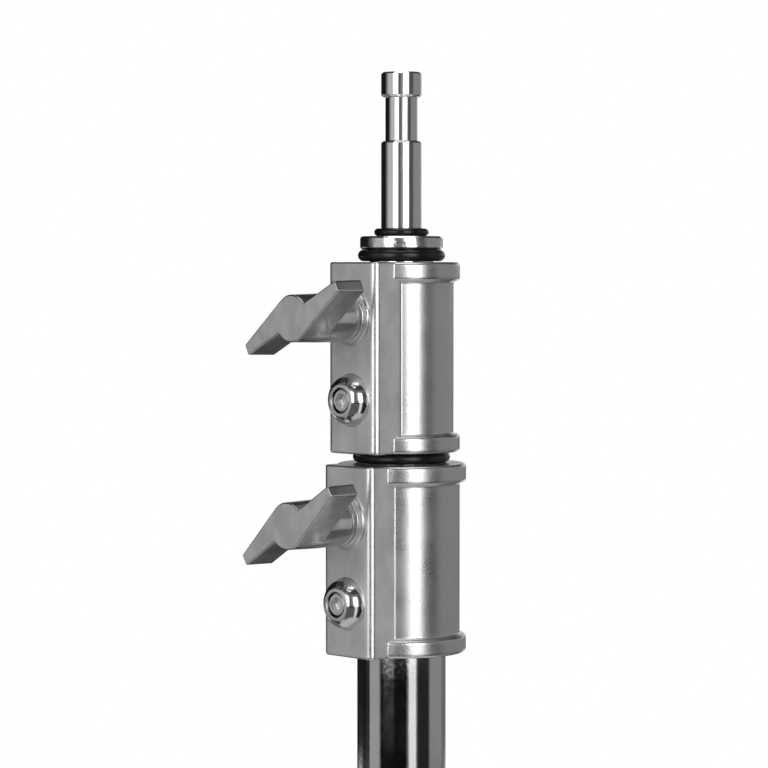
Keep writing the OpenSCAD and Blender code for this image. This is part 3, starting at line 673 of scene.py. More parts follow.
@dataclass
class Casting:
    """A cast barrel between two flange rings, with a flat-faced block for the clamp and lock screws."""

    node: str
    screw_node: str
    body: str
    tube_d: float
    moving_d: float
    socket: float
    gap: float = 0.3
    bush_h: float = 13.0
    bush_wall: float = 1.6
    wall: float = 5.5
    face_out: float = 7.0
    face_w: float = 26.5
    draft: float = 5.9
    corner_r: float = 3.2
    fillet: float = 1.2
    flange_out: float = 2.5
    flange_top: float = 7.4
    flange_low: float = 7.0
    flange_r: float = 1.5
    flange_hollow: float = 0.9
    shoulder: float = 0.2
    edge: float = 0.8
    knob_drop: float = 21.4
    screw_rise: float = 21.0
    boss_d: float = 20.0
    boss_h: float = 3.4
    boss_flare: float = 1.4
    screw_d: float = 10.0
    dome_d: float = 20.0
    dome_h: float = 5.9
    dome_rim_d: float = 12.6
    dome_fillet: float = 0.3
    recess_d: float = 9.9
    recess: float = 4.4
    head_d: float = 9.0
    head_h: float = 3.7
    head_bevel: float = 0.5
    lock_d: float = 6.0
    socket_af: float = 5.0
    socket_depth: float = 2.2
    socket_land: float = 0.7
    socket_cone: float = 0.6
    rim_land: float = 0.4
    end_row: float = 0.5
    least_mouth: float = 2.0

    # Where the outline has points, as shares of the flat face and of the side, and how many on its arcs
    FACE_SHARES = (0.0, 0.3, 0.6, 0.85, 0.95)
    SIDE_SHARES = (0.05, 0.35, 0.7, 0.95)
    CORNER_POINTS = 11
    FILLET_POINTS = 8
    BACK_POINTS = 57

    @property
    def barrel(self) -> float:
        """Radius of the barrel."""
        return self.tube_d / 2 + self.wall

    @property
    def out(self) -> float:
        """Distance of the flat face from the axis."""
        return self.barrel + self.face_out

    @property
    def knob_z(self) -> float:
        """Height of the clamp screw."""
        return high_z(self.node) - self.knob_drop

    @property
    def screw_z(self) -> float:
        """Height of the locking screw."""
        return low_z(self.node) + self.screw_rise

    def outline(self, barrel: np.ndarray, inset: np.ndarray) -> np.ndarray:
        """Outline of the casting in each row.

        Half of it runs along the flat face from its middle, round the corner, back along the drafted side,
        round the hollow fillet that touches the side's line and the barrel's circle, and round that circle
        to the back. The other half is its mirror image in x.

        Args:
            barrel: radius of the barrel or flange ring in each row.
            inset: how far the block is drawn in, in each row.

        Returns:
            Rows by columns by x and y.
        """
        draft = math.radians(self.draft)
        normal = np.array([math.cos(draft), -math.sin(draft)])
        along = np.array([math.sin(draft), math.cos(draft)])
        circle, d = barrel[:, None], inset[:, None]
        side = self.face_w / 2 * normal[0] + self.out * along[0] - d
        corner = self.corner_r - d
        centre_y = corner + d - self.out
        centre_x = (side - corner + centre_y * along[0]) / normal[0]
        turn = np.linspace(-np.pi / 2, -draft, self.CORNER_POINTS)
        corner_x, corner_y = centre_x + corner * np.cos(turn), centre_y + corner * np.sin(turn)
        face_x = centre_x * np.array(self.FACE_SHARES)
        face_y = np.broadcast_to(d - self.out, face_x.shape)
        reach = side + self.fillet
        back = -np.sqrt((circle + self.fillet) ** 2 - reach**2)
        hollow_x, hollow_y = reach * normal[0] + back * along[0], reach * normal[1] + back * along[1]
        start_x, start_y = side * normal[0] + back * along[0], side * normal[1] + back * along[1]
        share = np.array(self.SIDE_SHARES)
        side_x = corner_x[:, -1:] + (start_x - corner_x[:, -1:]) * share
        side_y = corner_y[:, -1:] + (start_y - corner_y[:, -1:]) * share
        first, last = np.pi - draft, np.arctan2(-hollow_y, -hollow_x)
        turn = first + (last - first) * np.linspace(0, 1, self.FILLET_POINTS)
        fillet_x = hollow_x + self.fillet * np.cos(turn)
        fillet_y = hollow_y + self.fillet * np.sin(turn)
        first = np.arctan2(hollow_y, hollow_x)
        turn = first + (np.pi / 2 - first) * np.linspace(0, 1, self.BACK_POINTS)[1:]
        x = np.concatenate([face_x, corner_x, side_x, fillet_x, circle * np.cos(turn)], axis=1)
        y = np.concatenate([face_y, corner_y, side_y, fillet_y, circle * np.sin(turn)], axis=1)
        half = np.stack([x, y], axis=-1)
        return np.concatenate([half, half[:, -2:0:-1] * np.array([-1, 1])], axis=1)

    def shell(self) -> Shell:
        """The casting: its outside from foot to top, over the rounded rim, and down its stepped bore.

        Returns:
            The closed surface.
        """
        low, high = low_z(self.node), high_z(self.node)
        height = high - low
        flange, r, step = self.barrel + self.flange_out, self.flange_r, self.shoulder
        rim = arc((flange - r, r), r, -90, 0, steps=7)
        walls = rounded(
            [
                (flange, r + self.rim_land, 0),
                (flange, self.flange_low - step, r),
                (self.barrel, self.flange_low + step, self.flange_hollow),
                (self.barrel, height - self.flange_top - step, self.flange_hollow),
                (flange, height - self.flange_top + step, r),
                (flange, height - r - self.rim_land, 0),
            ]
        )
        profile = np.concatenate([rim, walls, rim[::-1] * [1, -1] + [0, height]])
        depth = np.minimum(np.minimum(profile[:, 1], height - profile[:, 1]), self.edge)
        inset = self.edge - np.sqrt(self.edge**2 - (self.edge - depth) ** 2)
        row = self.end_row
        barrel = np.concatenate([[profile[0, 0] - row], profile[:, 0], [profile[-1, 0] - row]])
        inset = np.concatenate([[self.edge + row], inset, [self.edge + row]])
        outside = raised(self.outline(barrel, inset), np.concatenate([[0], profile[:, 1], [height]]))
        guide, seat = self.moving_d / 2 + self.gap, self.tube_d / 2 + FIT
        mouth = self.moving_d / 2 + self.bush_wall + FIT if self.bush_h else guide
        mouth_foot = height - max(self.bush_h, self.least_mouth)
        bore = np.array(
            [
                (mouth + BLUNT, height),
                (mouth, height - BLUNT),
                (mouth, mouth_foot),
                (guide, mouth_foot - STEP),
                (guide, self.socket),
                (seat, self.socket - STEP),
                (seat, BLUNT),
                (seat + BLUNT, 0),
            ]
        )
        angle = np.arctan2(outside[0, :, 1], outside[0, :, 0])
        inside = raised(round_rows(bore[:, :1], angle), bore[:, 1])
        return net(np.concatenate([outside, inside]), loop=True).shifted(z=low)

    def clamp_boss(self) -> Shell:
        """The ring that the clamp screw comes out of, with a flare that runs out on the flat face.

        Returns:
            The closed surface.
        """
        r, bore, flare = self.boss_d / 2, self.screw_d / 2 + FIT, self.boss_flare
        top = rounded([(r, flare, 0), (r, self.boss_h, FULL), (bore, self.boss_h, WORN), (bore, 0, 0)])
        foot = np.array([[bore, -SUNK], [r + flare, -SUNK]])
        profile = np.concatenate([foot, arc((r + flare, flare), flare, 270, 180), top[1:-1]])
        return turned(profile, loop=True).on_face(self.out, self.knob_z)

    def lock_dome(self) -> Shell:
        """The dome round the locking screw: a crown, its rim, and the recess that the screw head sits in.

        Returns:
            The closed surface.
        """
        foot, rim, h = self.dome_d / 2, self.dome_rim_d / 2, self.dome_h
        crown = ((foot - rim) ** 2 + h**2) / (2 * (foot - rim))
        top = math.degrees(math.asin(h / crown))
        low = math.degrees(math.asin(self.dome_fillet / crown))
        side = arc((foot - crown, 0), crown, low, top, steps=14)
        flare = arc((side[0, 0] + self.dome_fillet, self.dome_fillet), self.dome_fillet, 270, 180, steps=6)
        r, floor = self.recess_d / 2, h - self.recess
        well = rounded([(side[-1, 0], h, 0), (r, h, EASE), (r, floor, BLUNT), (0, floor, 0)], steps=4)
        start = np.array([[0, -SUNK], [flare[0, 0], -SUNK]])
        profile = np.concatenate([start, flare, side[1:], well[1:-1], well[-1:]])
        return turned(profile).on_face(self.out, self.screw_z)

    def lock_screw(self) -> Shell:
        """The socket head screw: a turned head and shank, and a hexagon socket in the head.

        Returns:
            The closed surface.
        """
        columns = 96
        seat = self.out + self.dome_h - self.recess + FIT
        tip = self.tube_d / 2 + FIT - seat
        r, h, shank = self.head_d / 2, self.head_h, self.lock_d / 2
        corners = [
            (0, tip, 0),
            (shank, tip, SOFT),
            (shank, 0, 0),
            (r, 0, FINE),
            (r, h - self.head_bevel, SOFT),
            (r - self.head_bevel, h, SOFT),
            (self.socket_af / 2 + self.socket_land, h, 0),
        ]
        outside = rounded(corners, steps=4)
        round_part = np.repeat(outside[:, :1], columns, axis=1)
        flats = hexagon(self.socket_af, columns)
        socket = np.stack([flats + EASE, flats, flats, 0 * flats])
        levels = h - np.array([0, EASE, self.socket_depth, self.socket_depth + self.socket_cone])
        radii = np.concatenate([round_part, socket])
        return swept_round(radii, np.concatenate([outside[:, 1], levels])).on_face(seat, self.screw_z)

    def build(self, shop: Workshop) -> None:
        """Makes the casting's pieces.

        Args:
            shop: makes and dresses the pieces.
        """
        node, body = self.node, self.body
        shop.piece(node + "_casting", [self.shell(), self.clamp_boss()], Finish.CASTING, body, node)
        shop.piece(node + "_dome", [self.lock_dome()], Finish.DOME, body, node)
        shop.piece(self.screw_node + "_head", [self.lock_screw()], Finish.SCREW, body, self.screw_node)


@dataclass
class Handle:
    """A T-handle: a round hub with two wings at its front, with its washer and clamp screw."""

    prefix: str
    casting: Casting
    turn: float
    span: float = 57.3
    hub_d: float = 18.8
    hub_l: float = 26.2
    depth: float = 13.5
    tip_w: float = 5.0
    tip_offset: float = 0.73
    slant: float = 1.8
    tip_r: float = 1.0
    edge: float = 0.6
    taper: float = 0.3
    hub_in: float = 0.06
    washer_d: float = 19.0
    washer_t: float = 1.6
    washer_edge: float = 0.35
    screw_in: float = 18.0
    land_gap: float = 0.3

    @property
    def back(self) -> float:
        """Distance of the handle's rear end from the column's axis."""
        return self.casting.out + self.casting.boss_h + self.land_gap + self.washer_t + FIT

    def outline(self) -> np.ndarray:
        """Outline of both wings: each leaves the hub on a tangent, turns round its tip and comes back in.

        Returns:
            Points by x and y, anticlockwise.
        """
        hub = self.hub_d / 2 - self.hub_in
        tip = self.span / 2
        outer = np.array([-tip, self.tip_w / 2 - self.tip_offset])
        inner = np.array([-tip, -self.tip_w / 2 - self.tip_offset])
        touch = math.atan2(outer[1], outer[0]) - math.acos(hub / float(np.linalg.norm(outer)))
        slope = math.tan(math.radians(self.slant))
        level = inner[1] + tip * slope
        notch_x = -(level * slope + math.sqrt(hub**2 * (1 + slope**2) - level**2)) / (1 + slope**2)
        notch = np.array([notch_x, inner[1] + (notch_x + tip) * slope])
        leave = hub * np.array([math.cos(touch), math.sin(touch)])
        wing = rounded([(*leave, 0), (*outer, self.tip_r), (*inner, self.tip_r), (*notch, 0)], steps=5)
        start = math.degrees(math.atan2(notch[1], notch[0])) + 360
        half = np.concatenate([wing, arc((0, 0), hub, start, math.degrees(touch) + 180, steps=24)[1:-1]])
        return np.concatenate([half, -half])

    def wings(self) -> Shell:
        """Both wings: the outline, drawn in along its normals by the rounded edges and the taper.

        Returns:
            The closed surface.
        """
        outline = self.outline()
        ahead = np.roll(outline, -1, axis=0) - outline
        ahead /= np.linalg.norm(ahead, axis=1)[:, None]
        right = np.stack([ahead[:, 1], -ahead[:, 0]], axis=1)
        both = right + np.roll(right, 1, axis=0)
        inward = -both / (1 + np.einsum("ij,ij->i", right, np.roll(right, 1, axis=0)))[:, None]
        rim = arc((self.edge, self.edge), self.edge, 270, 180, steps=5)
        low, front = self.hub_l - self.depth, self.hub_l
        levels = np.concatenate([rim[:, 1] + low, front - rim[::-1, 1]])
        insets = np.concatenate([rim[:, 0], rim[::-1, 0]]) + self.taper * (levels - low) / self.depth
        insets = np.concatenate([[insets[0] + HAIR], insets, [insets[-1] + HAIR]])
        rows = outline + inward * insets[:, None, None]
        rows = np.concatenate([rows[:1] * 0, rows, rows[:1] * 0])
        return net(raised(rows, np.concatenate([[low, low], levels, [front, front]])))

    def hub(self) -> Shell:
        """The hub: a bar that tapers between the wings to just under their front, with the screw's bore.

        Returns:
            The closed surface.
        """
        r, bore = self.hub_d / 2, self.casting.screw_d / 2 + FIT
        front = self.hub_l - self.edge
        corners = [
            (0, self.screw_in, 0),
            (bore, self.screw_in, 0),
            (bore, 0, WORN),
            (r, 0, FULL),
            (r, self.hub_l - self.depth, 0),
            (r - self.taper, front, 0),
            (0, front, 0),
        ]
        return lathe(corners, steps=5)

    def washer(self) -> Shell:
        """The plain washer between the clamp boss and the hub.

        Returns:
            The closed surface.
        """
        r, bore = self.washer_d / 2, self.casting.screw_d / 2 + FIT
        thick, edge = self.washer_t, self.washer_edge
        corners = [(bore, 0, FINE), (r, 0, edge), (r, thick, edge), (bore, thick, FINE)]
        return lathe(corners, steps=4, loop=True)

    def build(self, shop: Workshop) -> None:
        """Makes the handle and its washer, and dresses the screw and the brake pad.

        Args:
            shop: makes and dresses the pieces.
        """
        body, height = self.prefix + "_knob", self.casting.knob_z
        wings = self.wings().spun(self.turn).on_face(self.back, height)
        hub = self.hub().on_face(self.back, height)
        shop.piece(self.prefix + "_handle", [wings, hub], Finish.HANDLE, body, self.prefix + "_knob_handle")
        washer = self.washer().on_face(self.back - FIT - self.washer_t, height)
        shop.piece(self.prefix + "_washer", [washer], Finish.STEEL, body, self.prefix + "_knob_washer")
        shop.dress(Finish.STEEL, self.prefix + "_knob_screw")
        shop.dress(Finish.BRASS, self.prefix + "_brake_pad")


@dataclass
class Top:
    """The stud, the cap that it stands in and the rubber rings."""

    stud_d: float = 16.0
    shank: float = 34.1
    neck_d: float = 12.7
    neck: float = 17.4
    head: float = 9.6
    bevel: float = 0.7
    tenon_d: float = 12.0
    groove: float = 0.3
    cap_bevel: float = 0.8
    plug_r: float = 10.95

    def stud(self) -> Shell:
        """The turned stud: tenon, groove, shank, neck and head.

        Returns:
            The closed surface.
        """
        low, top, seat = low_z("stud"), high_z("stud"), high_z("stud_cap") + FIT
        r, neck, c = self.stud_d / 2, self.neck_d / 2, self.bevel
        neck_top = top - self.head
        neck_low = neck_top - self.neck
        foot = neck_low - self.shank
        corners = [
            (0, low, 0),
            (self.tenon_d / 2, low, BLUNT),
            (self.tenon_d / 2, seat, 0),
            (r - self.groove, seat, 0),
            (r - self.groove, foot, 0),
            (r, foot, TINY),
            (r, neck_low - c, EASE),
            (r - c, neck_low, EASE),
            (neck, neck_low, WORN),
            (neck, neck_top, WORN),
            (r - c, neck_top, EASE),
            (r, neck_top + c, EASE),
            (r, top - c, EASE),
            (r - c, top, EASE),
            (0, top, 0),
        ]
        return lathe(corners, steps=4)

    def cap(self) -> Shell:
        """The cap: its plug, its bevelled lip and the hole for the stud's tenon.

        Returns:
            The closed surface.
        """
        low, top, floor = low_z("stud_cap"), high_z("stud_cap"), low_z("stud") - 2 * FIT
        lip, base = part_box("stud_cap")[1].x / MM, high_z("riser_2_tube") + FIT
        c, hole = self.cap_bevel, self.tenon_d / 2 + FIT
        corners = [
            (0, low, 0),
            (self.plug_r, low, BLUNT),
            (self.plug_r, base, 0),
            (lip - c, base, EASE),
            (lip, base + c, EASE),
            (lip, top - c, EASE),
            (lip - c, top, EASE),
            (hole, top, FINE),
            (hole, floor, 0),
            (0, floor, 0),
        ]
        return lathe(corners, steps=4, segments=120)

    def ring(self, node: str) -> Shell:
        """A rubber ring of round section that fills its CAD node's box.

        Args:
            node: the CAD node.

        Returns:
            The closed surface.
        """
        low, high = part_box(node)
        section = (high.z - low.z) / MM
        return torus(high.x / MM - section, section, low.z / MM)

    def build(self, shop: Workshop) -> None:
        """Makes the stud, the cap and the rings.

        Args:
            shop: makes and dresses the pieces.
        """
        shop.piece("stud_turned", [self.stud()], Finish.CHROME, "riser_2", "stud")
        shop.piece("cap_turned", [self.cap()], Finish.CAP, "riser_2", "stud_cap")
        for name, body, node in (
            ("stud_ring", "riser_2", "stud_o_ring"),
            ("upper_bumper", "riser_2", "upper_bumper_ring"),
            ("lower_bumper", "riser_1", "lower_bumper_ring"),
        ):
            shop.piece(name, [self.ring(node)], Finish.RUBBER, body, node)
        shop.dress(Finish.STEEL, "stud_rivet")


@dataclass
class Tube:
    """A straight chromed tube round the column's axis."""

    node: str
    body: str
    wall: float = 1.5

    def build(self, shop: Workshop) -> None:
        """Makes the tube.

        Args:
            shop: makes and dresses the pieces.
        """
        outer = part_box(self.node)[1].x / MM
        tube = pipe(outer, outer - self.wall, low_z(self.node), high_z(self.node))
        shop.piece(self.node + "_chrome", [tube], Finish.TUBE, self.body, self.node)


@dataclass
class Leg:
    """A hub that turns on the post, a bent tube riveted into it, and a rubber foot."""

    name: str
    body: str
    angle: float
    post_r: float = 18.0
    hub_wall: float = 12.0
    hub_edge: float = 2.0
    tube_d: float = 25.0
    wall: float = 2.0
    bend_at: float = 72.0
    bend_r: float = 60.0
    bend_lead: float = 2.0
    slope: float = 45.0
    reach: float = 466.0
    socket_wall: float = 4.0
    socket_out: float = 56.0
    bead: float = 6.0
    bead_h: float = 1.5
    bead_edge: float = 0.9
    root_flare: float = 1.6
    root_l: float = 11.0
    root_gap: float = 1.0
    rivet_at: float = 43.0
    rivet_d: float = 5.0
    rivet_head_d: float = 9.0
    rivet_head_h: float = 2.0
    foot_wall: float = 3.5
    foot_grip: float = 38.0
    foot_end: float = 5.0
    foot_edge: float = 0.8
    groove_at: tuple[float, ...] = (7.0, 13.0, 19.0)
    groove_depth: float = 0.6
    groove_floor: float = 1.2
    groove_mouth: float = 2.0
    sole_flat: float = 1.0

    # Points along a bend, along the flared root and around the tube
    BEND_POINTS = 17
    ROOT_POINTS = 12
    ROUND_POINTS = 64

    @property
    def axis_z(self) -> float:
        """Height of the socket's axis: the middle of the hub."""
        node = "leg_hub_" + self.name
        return (low_z(node) + high_z(node)) / 2

    @property
    def run_z(self) -> float:
        """Height of the tube's axis where it runs along the floor."""
        return self.tube_d / 2 + self.foot_wall - self.sole_flat

    def path(self) -> tuple[np.ndarray, np.ndarray]:
        """The tube's axis in x and z: out, round a bend, down the slope, round a bend the other way, and out.

        Returns:
            The points, and the slope's angle at each of them.
        """
        slope, r = math.radians(self.slope), self.bend_r
        drop = self.axis_z - self.run_z - 2 * r * (1 - math.cos(slope))
        t = np.linspace(0, slope, self.BEND_POINTS)
        back = t[::-1]
        first = np.stack([self.bend_at + r * np.sin(t), self.axis_z - r * (1 - np.cos(t))], axis=1)
        foot = first[-1] + [drop / math.tan(slope), -drop]
        bend = np.stack([math.sin(slope) - np.sin(back), math.cos(slope) - np.cos(back)], axis=1)
        second = foot + r * bend
        start = self.post_r + self.hub_wall / 2 + FIT
        lead = [[start, self.axis_z], [self.bend_at - self.bend_lead, self.axis_z]]
        run = [[second[-1, 0] + self.bend_lead, self.run_z], [self.reach, self.run_z]]
        points = np.concatenate([lead, first, second, run])
        return points, np.concatenate([[0, 0], t, back, [0, 0]])

    def tube(self) -> Shell:
        """The bent tube: a circle across the path, carried along it outside and back inside.

        Returns:
            The closed surface.
        """
        points, lean = self.path()
        around = np.linspace(0, 2 * np.pi, self.ROUND_POINTS, endpoint=False)
        outer = self.tube_d / 2
        sides = []
        for radius, order in ((outer, slice(None)), (outer - self.wall, slice(None, None, -1))):
            across, y = radius * np.cos(around), radius * np.sin(around)
            x = points[order, :1] + np.sin(lean[order, None]) * across
            z = points[order, 1:] + np.cos(lean[order, None]) * across
            sides.append(np.stack([x, np.broadcast_to(y, x.shape), z], axis=-1))
        return net(np.concatenate(sides), loop=True).spun(self.angle)

    def hub(self) -> list[Shell]:
        """The hub: a thick ring, and the arm with its flared root and its bead.

        Returns:
            Both closed surfaces.
        """
        node = "leg_hub_" + self.name
        low, high = low_z(node), high_z(node)
        r, hole, e = self.post_r + self.hub_wall, self.post_r + FIT, self.hub_edge
        section = [(hole, low, BLUNT), (r, low, e), (r, high, e), (hole, high, BLUNT)]
        ring = lathe(section, steps=6, loop=True)
        arm, bore = self.tube_d / 2 + self.socket_wall, self.tube_d / 2 + FIT
        seat, out = self.post_r + self.hub_wall / 2, self.socket_out
        share = np.linspace(0, 1, self.ROOT_POINTS)
        root = np.stack([arm + self.root_flare * (1 - share) ** 2, seat + self.root_l * share], axis=1)
        corners = [
            (arm, seat + self.root_l + self.root_gap, 0),
            (arm, out - self.bead, FULL),
            (arm + self.bead_h, out - self.bead, self.bead_edge),
            (arm + self.bead_h, out, self.bead_edge),
            (bore, out, WORN),
            (bore, seat, 0),
        ]
        bead = rounded(corners, steps=5)
        sleeve = turned(np.concatenate([root, bead]), loop=True).laid_along_x().shifted(z=self.axis_z)
        return [ring, sleeve.spun(self.angle)]

    def foot(self) -> Shell:
        """The rubber foot: a sleeve with three grooves and a closed, rounded nose, cut flat under its sole.

        Returns:
            The closed surface.
        """
        r, bore = self.tube_d / 2 + self.foot_wall, self.tube_d / 2 + FIT
        end, nose = self.foot_grip + FIT, self.foot_grip + self.foot_end
        depth, floor, mouth = self.groove_depth, self.groove_floor / 2, self.groove_mouth / 2
        grooves = [
            (r - down, at + shift, EASE)
            for at in self.groove_at
            for down, shift in ((0.0, -mouth), (depth, -floor), (depth, floor), (0.0, mouth))
        ]
        corners = [(0, end, 0), (bore, end, 0), (bore, 0, WORN), (r, 0, self.foot_edge)]
        corners += [*grooves, (r, nose, self.foot_wall), (0, nose, 0)]
        shell = turned(rounded(corners, steps=5, support=CLOSE_SUPPORT), segments=128).laid_along_x()
        shell.shifted(self.reach - self.foot_grip, 0, self.run_z)
        shell.points[:, 2] = np.maximum(shell.points[:, 2], 0)
        return shell.spun(self.angle)

    def rivet(self) -> Shell:
        """The cross rivet with a dome at each end.

        Returns:
            The closed surface.
        """
        seat = self.tube_d / 2 + self.socket_wall + FIT
        r, h, shank = self.rivet_head_d / 2, self.rivet_head_h, self.rivet_d / 2
        crown = (r**2 + h**2) / (2 * h)
        dome = arc((0, seat + h - crown), crown, math.degrees(math.acos(r / crown)), 90)
        half = np.concatenate([[[shank, seat], [r - TINY, seat]], dome])
        half[-1, 0] = 0
        profile = np.concatenate([(half * [1, -1])[::-1], half])
        return turned(profile, segments=48).shifted(self.rivet_at, 0, self.axis_z).spun(self.angle)

    def build(self, shop: Workshop) -> None:
        """Makes the leg's pieces.

        Args:
            shop: makes and dresses the pieces.
        """
        for part, shells, finish in (
            ("hub", self.hub(), Finish.HUB),
            ("tube", [self.tube()], Finish.CHROME),
            ("foot", [self.foot()], Finish.SOLE),
            ("rivet", [self.rivet()], Finish.STEEL),
        ):
            node = f"leg_{part}_{self.name}"
            shop.piece(f"{self.name}_leg_{part}", shells, finish, self.body, node)


@dataclass
class Base:
    """The post that the hubs turn on, and the nut under them."""

    post_r: float = 18.0
    bore_r: float = 14.4
    nut_af: float = 50.0
    nut_bevel: float = 3.0
    nut_cone: float = 1.7
    nut_face_in: float = 0.4

    def nut(self) -> Shell:
        """The hexagon nut: its radius is the hexagon's, or less where the bevel cone cuts it.

        Returns:
            The closed surface.
        """
        columns = 120
        low, high = low_z("base_nut"), high_z("base_nut")
        flats = hexagon(self.nut_af, columns)
        rise = self.nut_bevel * np.linspace(0, 1, 5)
        cone = self.nut_af / 2 - self.nut_face_in + self.nut_cone * rise
        outside = np.minimum(flats, cone[:, None])
        bore = np.full((2, columns), self.post_r + FIT)
        radii = np.concatenate([outside, outside[::-1], bore])
        return swept_round(radii, np.concatenate([low + rise, high - rise[::-1], [high, low]]), loop=True)

    def build(self, shop: Workshop) -> None:
        """Makes the post and the nut, and dresses the small parts.

        Args:
            shop: makes and dresses the pieces.
        """
        post = pipe(self.post_r, self.bore_r, low_z("base_post"), high_z("base_post"), BLUNT)
        shop.piece("post_turned", [post], Finish.CHROME, "base", "base_post")
        shop.piece("hub_nut", [self.nut()], Finish.STEEL, "base", "base_nut")
        shop.dress(Finish.STEEL, "hub_key_pin", "base_flange_washer", "spigot_rivet")
        shop.dress(Finish.SPRING, "disc_spring")
        shop.dress(Finish.PLASTIC, "post_plug")
        shop.dress(Finish.CHROME, "column_spigot")
        shop.dress(
            Finish.NYLON,
            "hub_washers",
            "column_seat_washer",
            "lower_guide_bush",
            "upper_guide_bush",
            "riser_1_glide_ring",
            "riser_2_glide_ring",
        )


# Studio


@dataclass(frozen=True)
class Panel:
    """A soft-edged panel round the stand, seen in its metal.

    Its sides are angles from the camera's direction, positive to the image's right, and its ends are heights
    above the horizon, all in degrees.
    """

    left: float
    right: float
    low: float
    high: float
    level: float
    soft: float = 8.0
    soft_ends: float = 8.0


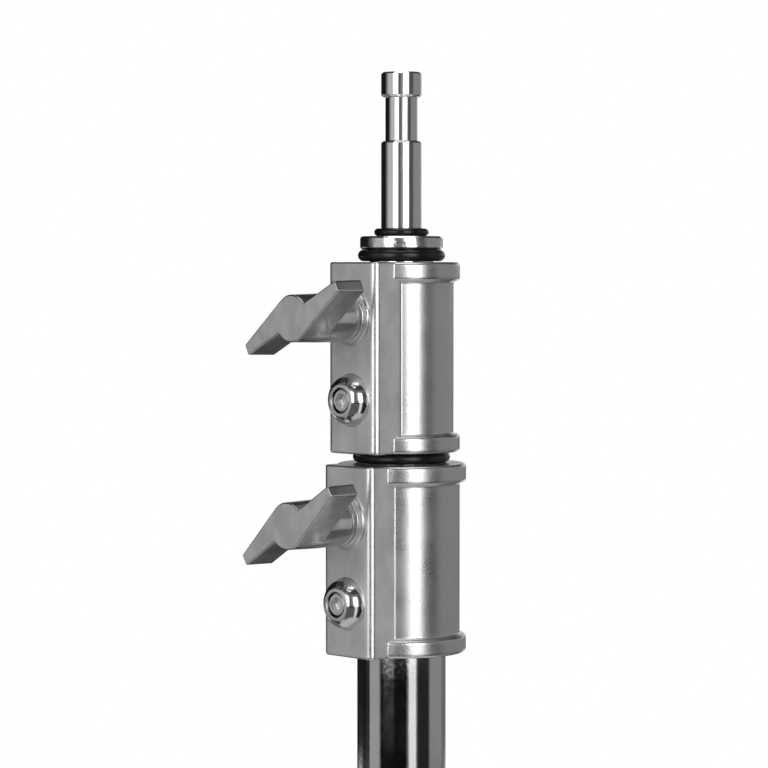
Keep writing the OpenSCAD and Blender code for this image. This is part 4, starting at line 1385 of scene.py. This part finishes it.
@dataclass
class Studio:
    """World light, floor and camera.

    The world is white for the camera. Everything else sees the panels, each laid over those before it, above
    and below the horizon, since only the camera sees the floor.
    """

    base_level: float = 0.27
    azimuth: float = 45.5
    distance: float = 1160.0
    height: float = 1265.5
    tilt: float = 2.37
    yaw: float = 0.34
    lens: float = 138.1
    sensor: float = 36.0
    clip_m: tuple[float, float] = (0.05, 50.0)
    floor_r: float = 2500.0
    floor_fade: tuple[float, float] = (900.0, 2400.0)
    floor_lift: float = 0.5
    paper: float = 0.85
    paper_gloss: float = 0.7
    panels: tuple[Panel, ...] = (
        Panel(152, 190, 0.3, 40, 1.02, 50, 1.0),
        Panel(120, 240, 16, 60, 0.05, 30, 8),
        Panel(-178, -100, -60, 40, 0.012, 16),
        Panel(-110, -65, -60, 40, 0.008, 40),
        Panel(-88, -47, -7.1, 36, 0.56, 34, 0.6),
        Panel(-47, -14, -7.1, 30, 2.4, 16, 0.6),
        Panel(-20, -5, -7.1, 36, 0.1, 11, 0.6),
        Panel(9.5, 39.6, 0, 30, 3.0, 5.5, 0.6),
        Panel(14.5, 40.2, -7.1, 0, 3.0, 7, 0.6),
        Panel(46, 70, -7.1, 36, 0.09, 15, 0.6),
        Panel(130, 160, -60, -7.1, 0.15, 16, 0.6),
        Panel(150, 190, -60, 0.3, 0.17, 20, 1.0),
        Panel(-200, 200, -100, -10, 0.18, 1, 1.5),
        Panel(-91, -56, -60, -7.1, 0.36, 5, 0.6),
        Panel(-58, 16, -12, -7.1, 0.004, 10, 0.6),
        Panel(-58, 16, -60, -12, 0.12, 10, 1),
        Panel(19.5, 38.5, -60, -7.1, 0.9, 5, 0.6),
        Panel(41, 78, -60, -7.1, 0.02, 10, 0.6),
        Panel(135, 205, -60, -22, 0.09, 20, 3),
        Panel(-150, -124, -26, -10, 0.9, 14, 1.5),
        Panel(-118, -96, -60, -10, 0.03, 14, 1.5),
        Panel(150, 176, -20, -10, 1.1, 14, 1.5),
        Panel(183, 205, -60, -10, 0.04, 14, 1.5),
        Panel(-200, 200, -100, -54, 0.6, 1, 8),
        Panel(-200, 200, 40, 100, 0.05, 1, 14),
        Panel(-200, 200, 68, 100, 1.7, 1, 8),
    )

    def world(self) -> None:
        """Builds the world: white for the camera, and panels by direction for everything else."""
        world = bpy.data.worlds.new("studio")
        world.use_nodes = True
        bpy.context.scene.world = world
        graph = Graph(world.node_tree)
        x, y, z = graph.split(graph.node("ShaderNodeTexCoord", output="Generated"))
        side = graph.maths("ARCTAN2", y, x) * math.degrees(1) + (90 - self.azimuth)
        rise = graph.maths("ARCSINE", z) * math.degrees(1)
        light: Term = self.base_level
        for panel in self.panels:
            reach, soft, ends = (panel.right - panel.left) / 2, panel.soft / 2, panel.soft_ends / 2
            away = graph.maths("PINGPONG", side - (panel.left + reach), 180.0)
            mask = graph.step(away, reach + soft, reach - soft)
            mask = mask * graph.step(rise, panel.low - ends, panel.low + ends)
            mask = mask * graph.step(rise, panel.high + ends, panel.high - ends)
            light = mask * (panel.level - light) + light
        seen = graph.node("ShaderNodeLightPath", output="Is Camera Ray")
        light = seen * (1 - light) + light
        shade = graph.node("ShaderNodeBackground", None, {"Color": grey(1.0), "Strength": light})
        graph.node("ShaderNodeOutputWorld", None, {"Surface": shade})

    def floor(self) -> None:
        """Lays a pale round floor that fades to white for the camera and is clear for everything else."""
        rings, columns = 8, 96
        around = np.linspace(0, 2 * np.pi, columns, endpoint=False)
        radii = self.floor_r * MM * np.linspace(0, 1, rings + 1)[1:, None]
        points = raised(round_rows(radii, around), np.zeros(rings)).reshape(-1, 3)
        index = np.arange(rings * columns).reshape(rings, columns)
        inner, outer = index[:-1], index[1:]
        quads = np.stack([inner, outer, np.roll(outer, -1, axis=1), np.roll(inner, -1, axis=1)], axis=-1)
        mesh = bpy.data.meshes.new("floor")
        mesh.from_pydata(points.tolist(), [], quads.reshape(-1, 4).tolist() + [index[0].tolist()])
        floor = new_object("floor", mesh)
        material, graph = new_graph("floor_paper")
        far = graph.node("ShaderNodeVectorMath", {"operation": "LENGTH"}, {0: graph.place()}, "Value")
        near_edge, far_edge = self.floor_fade
        fade = graph.step(far, near_edge * MM, far_edge * MM)
        share = fade * (1 - self.floor_lift) + self.floor_lift
        seen = graph.node("ShaderNodeLightPath", output="Is Camera Ray")
        inputs = {"Base Color": grey(self.paper), "Roughness": self.paper_gloss}
        paper = graph.node("ShaderNodeBsdfPrincipled", None, inputs)
        white = graph.node("ShaderNodeEmission", None, {"Color": grey(1.0), "Strength": 1.0})
        pale = graph.node("ShaderNodeMixShader", None, {0: share, 1: paper, 2: white})
        clear = graph.node("ShaderNodeBsdfTransparent")
        mixed = graph.node("ShaderNodeMixShader", None, {0: seen, 1: clear, 2: pale})
        graph.node("ShaderNodeOutputMaterial", None, {"Surface": mixed})
        mesh.materials.append(material)

    def camera(self) -> None:
        """Puts the camera level with the top of the upper collar, tilted down and turned aside a little."""
        data = bpy.data.cameras.new("camera")
        data.sensor_width = self.sensor
        data.lens = self.lens
        data.clip_start, data.clip_end = self.clip_m
        camera = new_object("camera", data)
        a, far = math.radians(self.azimuth), self.distance * MM
        camera.location = (far * math.sin(a), -far * math.cos(a), self.height * MM)
        camera.rotation_euler = (math.radians(90 - self.tilt), 0, math.radians(self.azimuth + self.yaw))
        bpy.context.scene.camera = camera

    def build(self) -> None:
        """Sets up the world, the floor, the camera and the view transform."""
        self.world()
        self.floor()
        self.camera()
        bpy.context.scene.view_settings.view_transform = "Standard"


def main() -> None:
    """Builds the stand piece by piece, then the studio round it."""
    logging.basicConfig(level=logging.INFO, format="%(name)s %(message)s")
    shop = Workshop()
    receiver = Casting(
        "base_receiver", "receiver_screw", "base", tube_d=36, moving_d=28.4, socket=26, gap=0.2, bush_h=0
    )
    lower = Casting("lower_collar", "lower_collar_screw", "column", tube_d=35, moving_d=30, socket=40)
    upper = Casting("upper_collar", "upper_collar_screw", "riser_1", tube_d=30, moving_d=25, socket=40)
    parts = [
        receiver,
        lower,
        upper,
        Handle("base", receiver, turn=8),
        Handle("lower", lower, turn=30),
        Handle("upper", upper, turn=25),
        Top(),
        Tube("column_tube", "column"),
        Tube("riser_1_tube", "riser_1"),
        Tube("riser_2_tube", "riser_2"),
        Leg("low", "base", angle=-90),
        Leg("mid", "mid_leg", angle=30),
        Leg("high", "high_leg", angle=150),
        Base(),
    ]
    for part in parts:
        part.build(shop)
    LOG.info("%d faces on new pieces", shop.quads)
    Studio().build()


if __name__ == "__main__":
    main()
